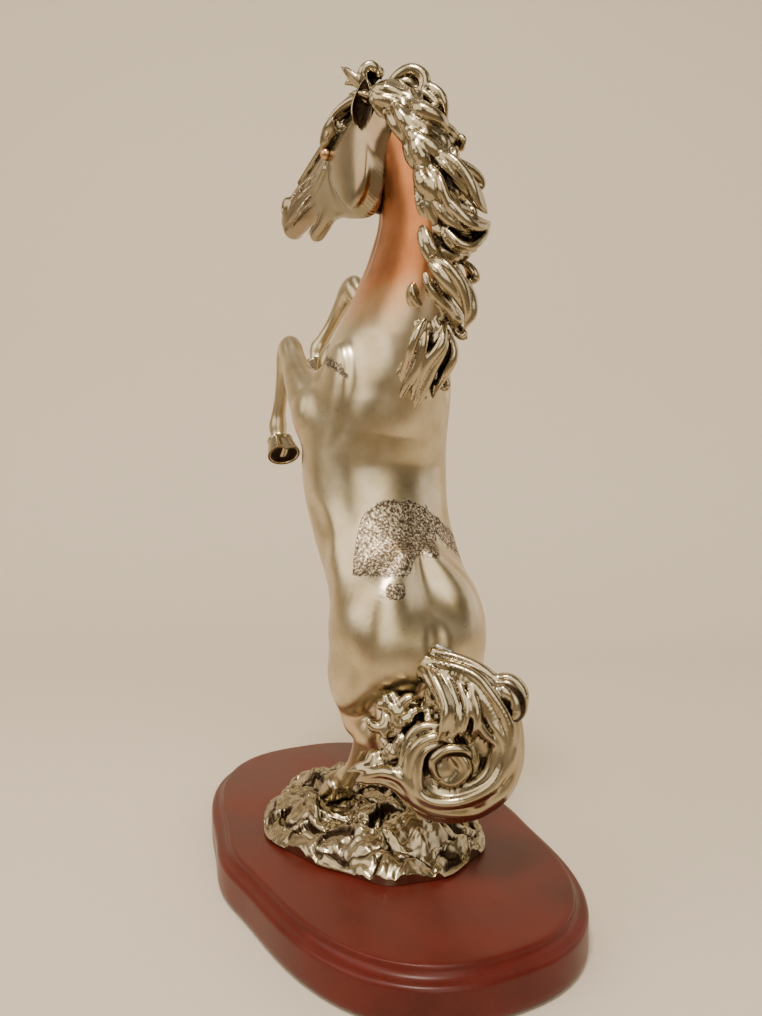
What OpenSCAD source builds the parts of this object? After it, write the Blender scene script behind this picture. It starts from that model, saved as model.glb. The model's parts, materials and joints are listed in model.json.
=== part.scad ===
// Rearing horse figure, silver plated over bronze, on a moulded wooden plinth.
// Millimetres, +Z up. The horse faces -X and its left side is towards -Y.
// The origin is on the surface that the statue stands on, under the middle of the plinth.

/* [Plinth] */
// Length of the plinth's flat top, along the horse
top_length = 269; // [220:1:320]
// Width of the plinth's flat top at its ends' shoulders
top_width = 157; // [130:1:190]
// How far each long side swells in its middle
side_swell = 5; // [0:0.5:10]
// Thickness of the wooden board
board_thickness = 22.5; // [18:0.5:30]
// How far the moulded edge stands out beyond the flat top
moulding_reach = 7; // [4:0.5:12]
// How far the moulding's cove drops below the flat top
cove_drop = 5; // [3:0.5:8]
// Thickness of the felt under the board
felt_thickness = 1.5; // [1:0.5:3]
// How far the felt stops short of the board's edge
felt_inset = 4; // [2:0.5:10]

/* [Rocky ground] */
// Length of the ground casting, along the horse
ground_length = 160; // [140:1:190]
// Width of the ground casting
ground_width = 122; // [108:1:146]
// Height of the bed that the hooves stand on, above the board
bed_height = 15; // [12:0.5:20]
// Height of the ground's outer rim above the board
rim_height = 6; // [4:0.5:8]

/* [Figure] */
// Height of the horse from the bed that it stands on to the top of its mane
figure_height = 396; // [330:1:460]
// Wall of the hollow castings
wall = 3; // [2:0.25:4]

/* [Fasteners] */
// Diameter of the screws that hold the ground casting to the board
screw_d = 5; // [4:0.5:6]
// Clearance on the diameter of each screw hole in the board
screw_clearance = 0.5; // [0.2:0.1:1]
// Diameter of the screws' heads
screw_head_d = 10; // [8:0.5:12]
// Diameter of the washers under the heads
washer_d = 14; // [12:0.5:18]
// Thickness of the washers
washer_t = 1; // [0.8:0.1:1.6]
// Diameter of the steel studs that stand in the hind hooves
stud_d = 3; // [2.5:0.25:3.5]
// Diameter of the dowels in the casting joints
dowel_d = 4; // [3:0.5:5]

/* [Hidden] */

// The figure's stations below are written for this height and scaled to figure_height.
DRAWN_HEIGHT = 396;
k = figure_height / DRAWN_HEIGHT;
top_z = felt_thickness + board_thickness;
figure_at = [-4, 2, top_z + bed_height];
bed_drawn = [0, 0, 39];

// ---- vector helpers ----
function unit(v) = v / norm(v);
function signed_power(x, p) = sign(x) * pow(abs(x), p);
function across(side, along) = unit(side - (side * along) * along);

// A Catmull-Rom curve through rows p, at place t counted in rows.
function spline(p, t) = let (n = len(p) - 1, i = min(floor(t), n - 1), f = t - i,
    a = i == 0 ? 2 * p[0] - p[1] : p[i - 1], b = p[i], c = p[i + 1],
    d = i + 2 > n ? 2 * p[n] - p[n - 1] : p[i + 2])
    (2 * b + (c - a) * f + (2 * a - 5 * b + 4 * c - d) * f * f + (3 * b - a - 3 * c + d) * f * f * f) / 2;

// A drawn station [x, y, z, half width, depth over, depth under] at its place in the part.
function placed(s) = concat((([s[0], s[1], s[2]] - bed_drawn) * k) + figure_at,
                            [s[3] * k, s[4] * k, s[5] * k]);
function place_of(p) = ([p[0], p[1], p[2]] - bed_drawn) * k + figure_at;
function centre(s) = [s[0], s[1], s[2]];

// One ring of a loft: an oval across the path, with its own depth over and under the path.
function ring(s, along, side, sides, shrink) =
    let (y = across(side, along), z = cross(y, along),
        w = max(s[3] - shrink, 0.3), over = max(s[4] - shrink, 0.3), under = max(s[5] - shrink, 0.3))
    [for (i = [0 : sides - 1]) let (a = -360 * i / sides, c = cos(a), h = sin(a))
        centre(s) + y * w * c + z * (h > 0 ? over : under) * h];

// A closed solid through rings of equal count, with a fan at each end.
module skin(rings) {
    n = len(rings);
    m = len(rings[0]);
    points = concat([for (r = rings) each r], [mean(rings[0]), mean(rings[n - 1])]);
    walls = [for (i = [0 : n - 2], j = [0 : m - 1]) let (a = i * m + j, b = i * m + (j + 1) % m)
        each [[a, a + m, b], [b, a + m, b + m]]];
    foot = [for (j = [0 : m - 1]) [j, (j + 1) % m, n * m]];
    head = [for (j = [0 : m - 1]) [(n - 1) * m + (j + 1) % m, (n - 1) * m + j, n * m + 1]];
    polyhedron(points = points, faces = concat(walls, foot, head));
}
function mean(p) = [for (a = [0 : 2]) [for (q = p) q[a]] * [for (q = p) 1] / len(p)];

// A smooth limb through drawn stations. shrink makes the hollow inside it.
// foot_trim and head_trim leave out that many rings at its two ends.
module loft(stations, side = [0, 1, 0], sides = 16, steps = 2, shrink = 0, foot_trim = 0, head_trim = 0) {
    p = [for (s = stations) placed(s)];
    last = (len(p) - 1) * steps;
    skin([for (i = [foot_trim : last - head_trim]) let (t = i / steps, d = 0.02, s = spline(p, t),
        before = centre(spline(p, max(t - d, 0))), after = centre(spline(p, min(t + d, len(p) - 1))))
        ring(s, unit(after - before), side, sides, shrink)]);
}

// Joins what it holds into one mesh and leaves its size alone.
module one_mesh() {
    resize([0, 0, 0]) union() children();
}

// ---- plinth ----
// The outline of the flat top at angle a: a full oval whose long sides swell in the middle.
OVAL = 2 / 2.6;
SWELL_SHARE = 0.2;
function outline(a) = let (x = top_length / 2 * signed_power(cos(a), OVAL),
    y = top_width / 2 * signed_power(sin(a), OVAL))
    [x, y + side_swell * sign(sin(a)) * min(1, abs(sin(a)) * 3)
            * exp(-pow(x / (top_length * SWELL_SHARE / 2), 2))];
OUTLINE_COUNT = 64;
function outward(a) = let (d = outline(a + 0.5) - outline(a - 0.5)) unit([d[1], -d[0]]);
function inset_outline(grow) = [for (i = [0 : OUTLINE_COUNT - 1]) let (a = (i + 0.5) * 360 / OUTLINE_COUNT)
    outline(a) + outward(a) * grow];

// The moulded edge from the foot up: [distance out from the flat top, height]. A lip, a cove and a step.
LIP_ROUND = 2.5;
STEP = 1.2;
moulding = let (cove = cove_drop - STEP, reach = moulding_reach, lip_z = board_thickness - cove_drop) concat(
    [[reach - 1.5, 0], [reach, 1.5]],
    [for (a = [0 : 30 : 90])
        [reach - LIP_ROUND + LIP_ROUND * cos(a), lip_z - LIP_ROUND + LIP_ROUND * sin(a)]],
    [for (a = [0 : 30 : 90]) [(reach - LIP_ROUND) * (1 - sin(a)) + 0.6, lip_z + cove * (1 - cos(a))]],
    [[0.6, board_thickness - 0.6], [0, board_thickness]]);

SCREW_RADIUS_SHARE = 0.3;
screw_places = [for (a = [90, 210, 330])
    figure_at - [0, 0, figure_at[2]] + [ground_length * SCREW_RADIUS_SHARE * sin(a),
        ground_width * SCREW_RADIUS_SHARE * cos(a), 0]];
screw_sink = 5;
screw_bite = 9;

module plinth() {
    color("#6e2b22") difference() {
        skin([for (m = moulding) [for (p = inset_outline(m[0])) [p[0], p[1], m[1] + felt_thickness]]]);
        for (p = screw_places) translate(p) {
            translate([0, 0, felt_thickness - 1])
                cylinder(d = screw_d + screw_clearance, h = board_thickness + 2, $fn = 32);
            translate([0, 0, felt_thickness - 1])
                cylinder(d = washer_d + 1, h = screw_sink + 1, $fn = 48);
        }
    }
}

module base_felt() {
    color("#3c2d20") linear_extrude(felt_thickness)
        polygon(inset_outline(moulding_reach - 1.5 - felt_inset));
}

module screw_washers() {
    color("#b9bcc0") for (p = screw_places) translate(p + [0, 0, felt_thickness + screw_sink - washer_t])
        difference() {
            cylinder(d = washer_d, h = washer_t, $fn = 48);
            translate([0, 0, -1]) cylinder(d = screw_d + screw_clearance, h = washer_t + 2, $fn = 32);
        }
}

head_t = 2.8;
module plinth_screws() {
    shank = board_thickness - screw_sink + washer_t + screw_bite;
    color("#c9ccd0") for (p = screw_places)
        translate(p + [0, 0, felt_thickness + screw_sink - washer_t - head_t]) difference() {
            union() {
                cylinder(d1 = screw_head_d - 2, d2 = screw_head_d, h = head_t, $fn = 40);
                translate([0, 0, head_t]) cylinder(d = screw_d, h = shank, $fn = 32);
            }
            for (a = [0, 90]) rotate(a) translate([-screw_head_d * 0.3, -0.6, -0.1])
                cube([screw_head_d * 0.6, 1.2, 1.5]);
        }
}

// ---- rocky ground ----
// How far the ground reaches at angle a, as a share of its oval.
function ragged(a) = 1 + 0.035 * sin(3 * a + 40) + 0.025 * sin(5 * a + 200) + 0.015 * sin(11 * a);
// Height of the ground above the board at angle a and share f of the way out.
function rock_bump(a, f) = 1.4 * sin(4 * a + 260 * f) * f * (1 - f) * 4 + 0.9 * sin(9 * a - 300 * f) * f;
function ground_height(a, f) = f >= 1 ? rim_height :
    rim_height + (bed_height - rim_height) * pow(1 - pow(f, 3), 0.7) + rock_bump(a, f) * (1 - pow(f, 8));
function ground_point(a, f, drop, inset) = let (r = ragged(a) * f) [
    (ground_length / 2 - inset) * r * cos(a), (ground_width / 2 - inset) * r * sin(a),
    max(ground_height(a, f) - drop, 0)];

GROUND_COUNT = 42;
module ground_dome(drop, inset, foot) {
    fs = [1, 0.97, 0.9, 0.8, 0.68, 0.54, 0.38, 0.22, 0.08];
    low = [for (i = [0 : GROUND_COUNT - 1]) let (p = ground_point(i * 360 / GROUND_COUNT, 1, drop, inset))
        [p[0], p[1], foot]];
    translate([figure_at[0], figure_at[1], top_z])
        skin(concat([low], [for (f = fs) [for (i = [0 : GROUND_COUNT - 1])
            ground_point(i * 360 / GROUND_COUNT, f, drop, inset)]]));
}

module ground_casting() {
    color("#bdb6a6") one_mesh() difference() {
        union() {
            difference() {
                ground_dome(0, 0, 0);
                ground_dome(wall, wall, -1);
            }
            intersection() {
                ground_dome(0, 0, 0);
                union() {
                    for (p = screw_places) translate([p[0], p[1], top_z])
                        cylinder(d = screw_d + 2 * wall + 1, h = bed_height * 2, $fn = 20);
                    for (p = stud_places) translate([p[0], p[1], top_z])
                        cylinder(d = stud_d + 2 * wall, h = bed_height * 2, $fn = 20);
                }
            }
            rock_spur();
        }
        translate([-top_length, -top_length, -1]) cube([2 * top_length, 2 * top_length, top_z + 1]);
        for (p = screw_places) translate([p[0], p[1], top_z - 1])
            cylinder(d = screw_d, h = screw_bite + 1, $fn = 20);
        for (p = stud_places) translate([p[0], p[1], top_z - 1]) {
            cylinder(d = stud_d, h = bed_height * 3, $fn = 20);
            cylinder(d = nut_room, h = 1 + nut_t, $fn = 20);
        }
        hoof(left_hind_foot);
        hoof(right_hind_foot);
        tail_body();
        leg_solid(left_hind());
        leg_solid(right_hind());
    }
}

// The crag that rises behind the hocks, where the tail rests on the ground.
module rock_spur() {
    loft([[50, 12, 30, 20, 16, 20], [56, 14, 42, 21, 17, 18], [62, 17, 52, 18, 13, 14],
          [64, 19, 58, 9, 6, 7]], sides = 14);
}

// ---- body ----
torso = [[45, 0, 114, 13, 11, 10], [45, 0, 122, 29, 26, 25], [43, 0, 138, 39, 32, 34],
    [37, 0, 160, 39, 26, 38],
    [25, 0, 180, 37, 25, 42], [12, 0, 200, 37, 28, 44], [3, 0, 224, 39, 36, 47], [1, 0, 246, 38, 42, 48],
    [3, 0, 266, 36, 46, 46], [5, 0, 283, 32, 40, 40], [2, 0, 298, 25, 28, 32], [0, 0, 307, 10, 12, 14]];
neck = [[4, 0, 262, 30, 44, 44], [12, 1, 285, 28, 46, 46], [25, 2.5, 308, 22.5, 42, 43],
    [36, 3, 330, 17.5, 37, 37], [44, 2, 352, 14.5, 31, 31], [46, -1, 375, 13.5, 25, 25],
    [43, -5, 395, 13, 21, 21],
    [36, -11, 410, 10, 15, 16]];

module torso_solid(shrink = 0) {
    loft(torso, sides = 22, shrink = shrink);
    for (s = [-1, 1]) haunch(s, shrink);
}
module haunch(s, shrink) {
    loft([[48, s * 10, 176, 9, 14, 12], [47, s * 19, 158, 18, 26, 22], [42, s * 23, 138, 19, 31, 29],
        [35, s * 25, 122, 14, 22, 24], [33, s * 26, 112, 8, 12, 13]], sides = 18, shrink = shrink);
}
module neck_solid(shrink = 0) {
    loft(neck, sides = 20, shrink = shrink);
}
module torso_bore() {
    loft(torso, sides = 16, shrink = wall + 0.6, foot_trim = 1, head_trim = 1);
}
module neck_bore() {
    loft(neck, sides = 14, shrink = wall + 0.6, head_trim = 3);
}

module torso_shell() {
    color("#d9d2c2") one_mesh() difference() {
        union() {
            difference() {
                torso_solid();
                torso_bore();
                neck_bore();
            }
            intersection() {
                torso_solid();
                sockets();
            }
        }
        dowel_holes();
        leg_solid(left_hind());
        leg_solid(right_hind());
        leg_solid(left_fore());
        leg_solid(right_fore());
    }
}

module neck_shell() {
    color("#c98a5b") one_mesh() difference() {
        union() {
            difference() {
                neck_solid();
                neck_bore();
            }
            intersection() {
                neck_solid();
                sockets();
            }
        }
        torso_solid();
        dowel_holes();
        leg_solid(left_fore());
        leg_solid(right_fore());
        ear(-1);
        ear(1);
    }
}
// The lumps of metal left inside the thin walls where another casting is let in and pinned.
module sockets() {
    for (s = SOCKETS) translate(place_of(s[0])) sphere(r = s[1] * k, $fn = 12);
}
SOCKETS = [[[10, -22, 242], 17], [[9, 19, 258], 18], [[48, -19, 154], 18], [[48, 19, 154], 18],
    [[18, -20, 294], 8], [[18, 23, 294], 8], [[69, 0, 139], 9]];

// ---- head ----
// The head has axes of its own: along the face from the poll to the lips, to the horse's right, and up.
POLL = [41, -14, 409];
HEAD_ALONG = unit([-0.96, -0.142, -0.242]);
HEAD_SIDE = unit([-0.146, 0.989, 0]);
HEAD_UP = cross(HEAD_SIDE, HEAD_ALONG);
function from_head(p) = POLL + p[0] * HEAD_ALONG + p[1] * HEAD_SIDE + p[2] * HEAD_UP;
// [along, up, half width, depth over, depth under] in those axes, as a station for loft().
function head_row(r) = concat(from_head([r[0], 0, r[1]]), [r[2], r[3], r[4]]);
head = [for (r = [[-6, -10, 8, 12, 14], [4, -8, 10.5, 20, 26], [14, -8, 12.5, 21, 35],
                  [25, -9, 13.5, 22, 38],
    [37, -9, 13, 22.5, 31], [49, -8, 10.5, 21.5, 24], [62, -6, 8, 19, 19], [75, -4, 6.8, 17, 16],
    [88, -3, 7, 15.5, 14], [99, -3, 7.6, 13, 13], [107, -3.5, 6.5, 9, 10], [110, -4, 3.5, 4, 6]])
    head_row(r)];
jaw = [for (r = [[48, -22, 5.5, 6, 8], [62, -22, 5, 4, 5.5], [74, -24, 5.2, 4, 5.5], [80, -25, 4, 3, 4]])
    head_row(r)];

module head_solid() {
    loft(head, side = HEAD_SIDE, sides = 18);
    loft(jaw, side = HEAD_SIDE, sides = 10);
}
module head_casting() {
    color("#cfc6b4") one_mesh() difference() {
        head_solid();
        neck_solid();
        dowel_holes();
        eye(-1);
        eye(1);
        ear(-1);
        ear(1);
    }
}
module eye(s) {
    translate(place_of(from_head([40, 11.5 * s, -2]))) sphere(r = 3.2 * k, $fn = 24);
}
module ear(s) {
    base = from_head([9, 9.5 * s, -7]);
    loft([concat(base, [3, 3, 3]), concat(base + [2, 0.8 * s, 7], [4.5, 2.6, 2.6]),
        concat(base + [5, 1.4 * s, 14], [4, 2.2, 2.2]), concat(base + [7, 1.8 * s, 21], [1, 0.8, 0.8])],
        side = [0.6, 0.8, 0], sides = 10);
}
module left_ear() { color("#cfc6b4") ear(-1); }
module right_ear() { color("#cfc6b4") ear(1); }
module left_eye() { color("#3a3128") eye(-1); }
module right_eye() { color("#3a3128") eye(1); }

// ---- hair ----
// A lock of hair: an oval strand through [x, y, z] points that swells and runs out to a tip.
module lock(points, width, depth, side = [0.4, 0.9, 0]) {
    n = len(points) - 1;
    loft([for (i = [0 : n]) let (f = i / n, r = max(pow(sin(180 * pow(0.12 + 0.86 * f, 0.8)), 0.7), 0.12))
        concat(points[i], [width * r, depth * r, depth * r])], side = side, sides = 8);
}
// The mane's ridge follows the crest of the neck, a little behind it.
crest = [[32, -13, 422], [50, -10, 419], [66, -5, 402], [74, 1, 380], [76, 5, 356], [73, 7, 332],
    [67, 7, 310], [60, 6, 288], [53, 5, 266]];
function crest_at(t) = spline(crest, t);
LOCKS = 9;
module mane_locks() {
    loft([for (i = [0 : len(crest) - 1]) concat(crest[i], [8, 8, 9])], sides = 10);
    for (i = [0 : LOCKS - 1]) {
        t = 0.6 + i * (len(crest) - 2.6) / (LOCKS - 1);
        p = crest_at(t);
        wave = 5 * sin(i * 137);
        lock([p + [-4, -6, 6], p + [4, 0 + wave * 0.4, 2], p + [5, 5, -9], p + [3 + wave * 0.5, 7, -20],
            p + [6 + wave * 0.5, 9 + wave * 0.4, -30]], 8, 5.5);
    }
}
module mane_casting() {
    color("#8e8474") one_mesh() difference() {
        mane_locks();
        neck_solid();
        torso_solid();
        head_solid();
        ear(-1);
        ear(1);
        forelock_body();
    }
}
module forelock_body() {
    lock([[36, -16, 421], [30, -19, 432], [25, -22, 434], [18, -24, 428], [14, -25, 417]], 6, 4);
    lock([[38, -15, 424], [28, -14, 434], [20, -20, 436], [12, -27, 435]], 4.5, 3.5);
}
module forelock_casting() {
    color("#8e8474") one_mesh() difference() {
        forelock_body();
        head_solid();
        neck_solid();
        ear(-1);
        ear(1);
    }
}

// ---- legs: each is [upper loft, lower loft], then the foot as [coronet, sole middle] ----
function left_fore() = [
    [[8, -24, 244, 10, 14, 14], [-3, -33, 254, 12, 15, 15], [-14, -35, 265, 11, 14, 13],
        [-27, -35.5, 279, 9.5, 10.5, 10], [-39, -35, 292, 7.6, 8, 8], [-47, -34.5, 300, 7.4, 8, 7.4],
        [-51, -34.5, 304, 4, 4, 4]],
    [[-45, -34.5, 303, 4, 4, 3], [-52, -34.7, 298, 6.8, 7, 7], [-58, -35, 287, 5.4, 5.4, 5.6],
        [-63, -35.5, 274, 4.6, 4.6, 5.2], [-67, -36, 262, 5, 5, 5.4], [-68.5, -36, 255, 6, 5.6, 6.6],
        [-67, -36, 249, 5.4, 5.2, 5.6], [-64, -36, 245, 5.4, 5.4, 5.4]]];
function right_fore() = [
    [[6, 20, 262, 9, 14, 14], [-8, 25, 282, 11.5, 15, 15], [-20, 24, 298, 10.5, 13, 13],
        [-34, 19, 315, 9, 10.5, 10], [-47, 14, 332, 7.6, 8, 8], [-55, 11, 342, 7.4, 8, 7.4],
        [-59, 10, 347, 4, 4, 4]],
    [[-53, 11, 346, 4, 4, 3], [-60, 9.5, 342, 6.8, 7, 7], [-68, 7, 334, 5.4, 5.4, 5.6],
        [-76, 4, 324, 4.6, 4.6, 5.2], [-83, 0, 314, 5, 5, 5.4], [-86, -2, 309, 6, 5.6, 6.6],
        [-86, -3, 303, 5.4, 5.2, 5.6], [-84, -3.5, 298, 5.4, 5.4, 5.4]]];
function hind(s, fore) = [
    [[46, s * 20, 152, 6, 8, 8], [40, s * 24, 136, 9, 20, 18], [35, s * 26, 122, 12, 19, 20],
        [36, s * 26.5, 110, 10.5, 14, 14], [40, s * 25.5, 101, 8.4, 10, 9.5],
        [45, s * 24.5, 92, 7.4, 8.5, 8],
        [47, s * 24, 86, 4, 5, 4]],
    [[48, s * 24.5, 97, 4, 4, 4], [45, s * 24.5, 90, 7, 8, 7], [39 - fore, s * 23.5, 80, 5.6, 6, 6],
        [29 - fore, s * 22.8, 69, 4.8, 5, 5.2], [20 - fore, s * 22, 60, 5.6, 5.6, 6],
        [15 - fore, s * 22, 56, 6.2, 6, 6.6], [9 - fore, s * 21.5, 52, 5.4, 5.4, 5.6],
        [4 - fore, s * 21.5, 49, 5.6, 5.6, 5.6]]];
function left_hind() = hind(-1, 4);
function right_hind() = hind(1, -4);
left_fore_foot = [[-64.5, -36, 246], [-56, -36, 236.5]];
right_fore_foot = [[-84, -3.5, 299], [-78, -4, 289]];
left_hind_foot = [[0, -21.5, 50], [-7, -21.5, 39.2]];
right_hind_foot = [[8, 21.5, 50], [1, 21.5, 39.2]];

module leg_solid(leg) {
    for (part = leg) loft(part, sides = 14);
}
// A hoof: narrow at the coronet, wide at the sole.
module hoof(foot) {
    top = foot[0];
    low = foot[1];
    step = (low - top) / 4;
    loft([concat(top - step * 0.4, [5.4, 5.4, 5.4]), concat(top, [6.4, 6.6, 6.2]),
          concat(top + 2 * step, [7.4, 8, 7]),
        concat(low - step * 0.4, [8.2, 9.4, 7.8]), concat(low, [8.2, 9.4, 7.8])], sides = 14, steps = 1);
}
module leg_casting(leg, foot) {
    color("#d9d2c2") one_mesh() difference() {
        leg_solid(leg);
        hoof(foot);
        dowel_holes();
        studs();
    }
}
module left_foreleg() { leg_casting(left_fore(), left_fore_foot); }
module right_foreleg() { leg_casting(right_fore(), right_fore_foot); }
module left_hind_leg() { leg_casting(left_hind(), left_hind_foot); }
module right_hind_leg() { leg_casting(right_hind(), right_hind_foot); }
module hoof_casting(foot) {
    color("#a89f8d") one_mesh() difference() {
        hoof(foot);
        studs();
    }
}
module left_fore_hoof() { hoof_casting(left_fore_foot); }
module right_fore_hoof() { hoof_casting(right_fore_foot); }
module left_hind_hoof() { hoof_casting(left_hind_foot); }
module right_hind_hoof() { hoof_casting(right_hind_foot); }

// ---- tail ----
module tail_body() {
    lock([[62, 0, 140], [74, 2, 139], [84, 12, 133], [89, 27, 120], [87, 37, 100],
          [82, 37, 80], [74, 30, 66],
        [64, 18, 57], [54, 4, 55], [44, -8, 60]], 15, 10, side = TAIL_SIDE);
    lock([[66, 1, 136], [74, 6, 126], [78, 16, 112], [76, 20, 94], [70, 14, 78],
          [60, 6, 74], [50, -2, 80]], 12, 9,
        side = TAIL_SIDE);
    lock([[72, 4, 130], [70, 2, 114], [64, 0, 100], [58, 4, 86], [56, 12, 72], [60, 20, 62]],
         11, 9, side = TAIL_SIDE);
}
TAIL_SIDE = [0.45, 0.89, 0.1];
module curl_body() {
    lock([[88, 30, 96], [90, 20, 84], [88, 8, 80], [86, 2, 90], [86, 8, 100], [88, 18, 100],
          [89, 16, 91]], 7, 6,
        side = TAIL_SIDE);
    lock([[84, 36, 126], [86, 44, 124], [87, 48, 116], [87, 46, 106], [86, 40, 100]],
         6, 6, side = TAIL_SIDE);
}
module tail_casting() {
    color("#8e8474") one_mesh() difference() {
        tail_body();
        torso_solid();
        leg_solid(left_hind());
        leg_solid(right_hind());
        dowel_holes();
    }
}
module tail_curls() {
    color("#8e8474") one_mesh() difference() {
        curl_body();
        tail_body();
    }
}

// ---- dowels and studs ----
// A rod through drawn point p along d, reaching half its length each way.
module rod(p, d, length, diameter) {
    n = unit(d);
    translate(place_of(p)) rotate([0, acos(n[2]), atan2(n[1], n[0])])
        cylinder(d = diameter, h = length, center = true, $fn = 24);
}
DOWELS = [["head", [24, -15.5, 400], [-0.96, -0.14, -0.24], 16], ["neck", [18, -20.5, 294], [0, 0, 1], 12],
    ["neck", [18, 23.5, 294], [0, 0, 1], 12], ["fore", [8, -24, 244], [11, 9, -10], 16],
    ["fore", [6, 20, 262], [14, -5, -20], 16], ["hind", [46, -20, 152], [6, 4, 16], 16],
    ["hind", [46, 20, 152], [6, -4, 16], 16], ["tail", [75, 2.5, 138.3], [0.9, 0.35, -0.2], 13]];
module dowels(which) {
    for (d = DOWELS) if (d[0] == which) rod(d[1], d[2], d[3], dowel_d);
}
module dowel_holes() {
    for (d = DOWELS) rod(d[1], d[2], d[3] + 0.4, dowel_d);
}
module head_dowel() { color("#9a9da1") dowels("head"); }
module neck_dowels() { color("#9a9da1") dowels("neck"); }
module foreleg_dowels() { color("#9a9da1") dowels("fore"); }
module hind_leg_dowels() { color("#9a9da1") dowels("hind"); }
module tail_dowel() { color("#9a9da1") dowels("tail"); }

nut_t = 3;
nut_room = 8;
nut_af = 5.5;
stud_reach = 9;
stud_places = [for (f = [left_hind_foot, right_hind_foot]) let (p = place_of(f[1])) [p[0], p[1], 0]];
module studs() {
    for (p = stud_places) translate([p[0], p[1], top_z + 0.5])
        cylinder(d = stud_d, h = bed_height + stud_reach, $fn = 24);
}
module hoof_studs() { color("#9a9da1") studs(); }
module hoof_nuts() {
    color("#9a9da1") for (p = stud_places) translate([p[0], p[1], top_z + 0.6]) difference() {
        cylinder(d = nut_af / cos(30), h = nut_t - 0.6, $fn = 6);
        translate([0, 0, -1]) cylinder(d = stud_d, h = nut_t + 2, $fn = 24);
    }
}

plinth();
base_felt();
plinth_screws();
screw_washers();
ground_casting();
hoof_studs();
hoof_nuts();
torso_shell();
neck_shell();
head_casting();
left_ear();
right_ear();
left_eye();
right_eye();
mane_casting();
forelock_casting();
left_foreleg();
right_foreleg();
left_fore_hoof();
right_fore_hoof();
left_hind_leg();
right_hind_leg();
left_hind_hoof();
right_hind_hoof();
tail_casting();
tail_curls();
head_dowel();
neck_dowels();
foreleg_dowels();
hind_leg_dowels();
tail_dowel();
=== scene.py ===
"""Rearing horse statue: its visible skin, laid over the part's solids.

Lengths in this file are millimetres in the figure's drawn space, +Z up, the horse facing -X and its
left side towards -Y. to_part() carries a drawn place to the part's own frame, in metres.
"""

import json
import math

import bpy
import numpy as np
import openvdb
from bpy.props import FloatProperty, FloatVectorProperty, PointerProperty
from bpy.types import Operator, Panel, PropertyGroup
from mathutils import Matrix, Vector

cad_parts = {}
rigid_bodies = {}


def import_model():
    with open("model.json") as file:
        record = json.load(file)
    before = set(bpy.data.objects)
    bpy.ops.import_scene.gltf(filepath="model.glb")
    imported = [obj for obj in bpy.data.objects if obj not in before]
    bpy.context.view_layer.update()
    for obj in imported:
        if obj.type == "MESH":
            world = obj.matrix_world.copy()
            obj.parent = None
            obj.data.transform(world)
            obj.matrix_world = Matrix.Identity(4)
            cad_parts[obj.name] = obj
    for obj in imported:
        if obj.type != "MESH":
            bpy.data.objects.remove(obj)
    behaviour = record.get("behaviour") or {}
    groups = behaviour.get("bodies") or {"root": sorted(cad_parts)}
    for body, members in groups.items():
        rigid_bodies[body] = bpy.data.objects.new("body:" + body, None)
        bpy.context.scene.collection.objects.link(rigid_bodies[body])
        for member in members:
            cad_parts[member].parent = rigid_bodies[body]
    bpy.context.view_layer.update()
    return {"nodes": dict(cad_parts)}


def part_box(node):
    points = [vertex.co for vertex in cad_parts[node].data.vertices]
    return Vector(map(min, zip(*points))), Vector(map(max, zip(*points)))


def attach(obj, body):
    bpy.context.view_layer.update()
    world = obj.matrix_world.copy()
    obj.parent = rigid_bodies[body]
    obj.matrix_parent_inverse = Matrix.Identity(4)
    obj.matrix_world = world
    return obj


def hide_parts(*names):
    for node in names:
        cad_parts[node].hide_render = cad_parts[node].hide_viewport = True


bl_info = {
    "name": "Rearing horse statue",
    "version": (1, 0, 0),
    "blender": (4, 5, 0),
    "location": "View3D > Sidebar > Statue",
    "description": "Builds the plated skin, hair, ground and plinth of a rearing horse statue",
    "category": "Object",
}

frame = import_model()

MM = 0.001
RIGHT = np.array([0.4226, 0.9063, 0.0])  # across the main view, from behind on the left
AWAY = np.array([-0.9063, 0.4226, 0.0])  # along that view
HIGH = np.array([0.0, 0.0, 1.0])
FAR = 40.0  # what the clay's grid says where no surface is near
EYE_IN_HEAD = [40, 11.5, -2]  # along the face, to the side, up
EYE_DRAWN_SIZE = 6.4


def unit(v):
    return v / np.maximum(np.linalg.norm(v, axis=-1, keepdims=True), 1e-9)


POLL = np.array([41.0, -14, 409])
HEAD_ALONG = unit(np.array([-0.96, -0.142, -0.242]))
HEAD_SIDE = unit(np.array([-0.146, 0.989, 0.0]))
HEAD_UP = np.cross(HEAD_SIDE, HEAD_ALONG)


def from_head(points):
    """A place in the head's own axes (along the face, to the horse's right, up) to drawn space."""
    p = np.asarray(points, float)
    return POLL + p[..., :1] * HEAD_ALONG + p[..., 1:2] * HEAD_SIDE + p[..., 2:3] * HEAD_UP


EYE_DRAWN = from_head([EYE_IN_HEAD[0], -EYE_IN_HEAD[1], EYE_IN_HEAD[2]])


def corners(node):
    """A CAD node's lowest and highest corners, in millimetres."""
    return [np.array(c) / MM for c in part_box(node)]


EYE_LOW, EYE_HIGH = corners("left_eye")
DRAWN_SCALE = (EYE_HIGH[2] - EYE_LOW[2]) / EYE_DRAWN_SIZE
BOARD_LOW, BOARD_HIGH = corners("plinth")
GROUND_LOW, GROUND_HIGH = corners("ground_casting")


def to_part(points):
    """Drawn millimetres to the part's: scaled about the left eye, and moved onto its CAD place."""
    return (np.asarray(points, float) - EYE_DRAWN) * DRAWN_SCALE + (EYE_LOW + EYE_HIGH) / 2


# ---- arrays ----
def smooth(low, high, x):
    """0 below low, 1 above high, and 3t^2 - 2t^3 between them."""
    t = np.clip((x - low) / (high - low), 0, 1)
    return t * t * (3 - 2 * t)


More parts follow.
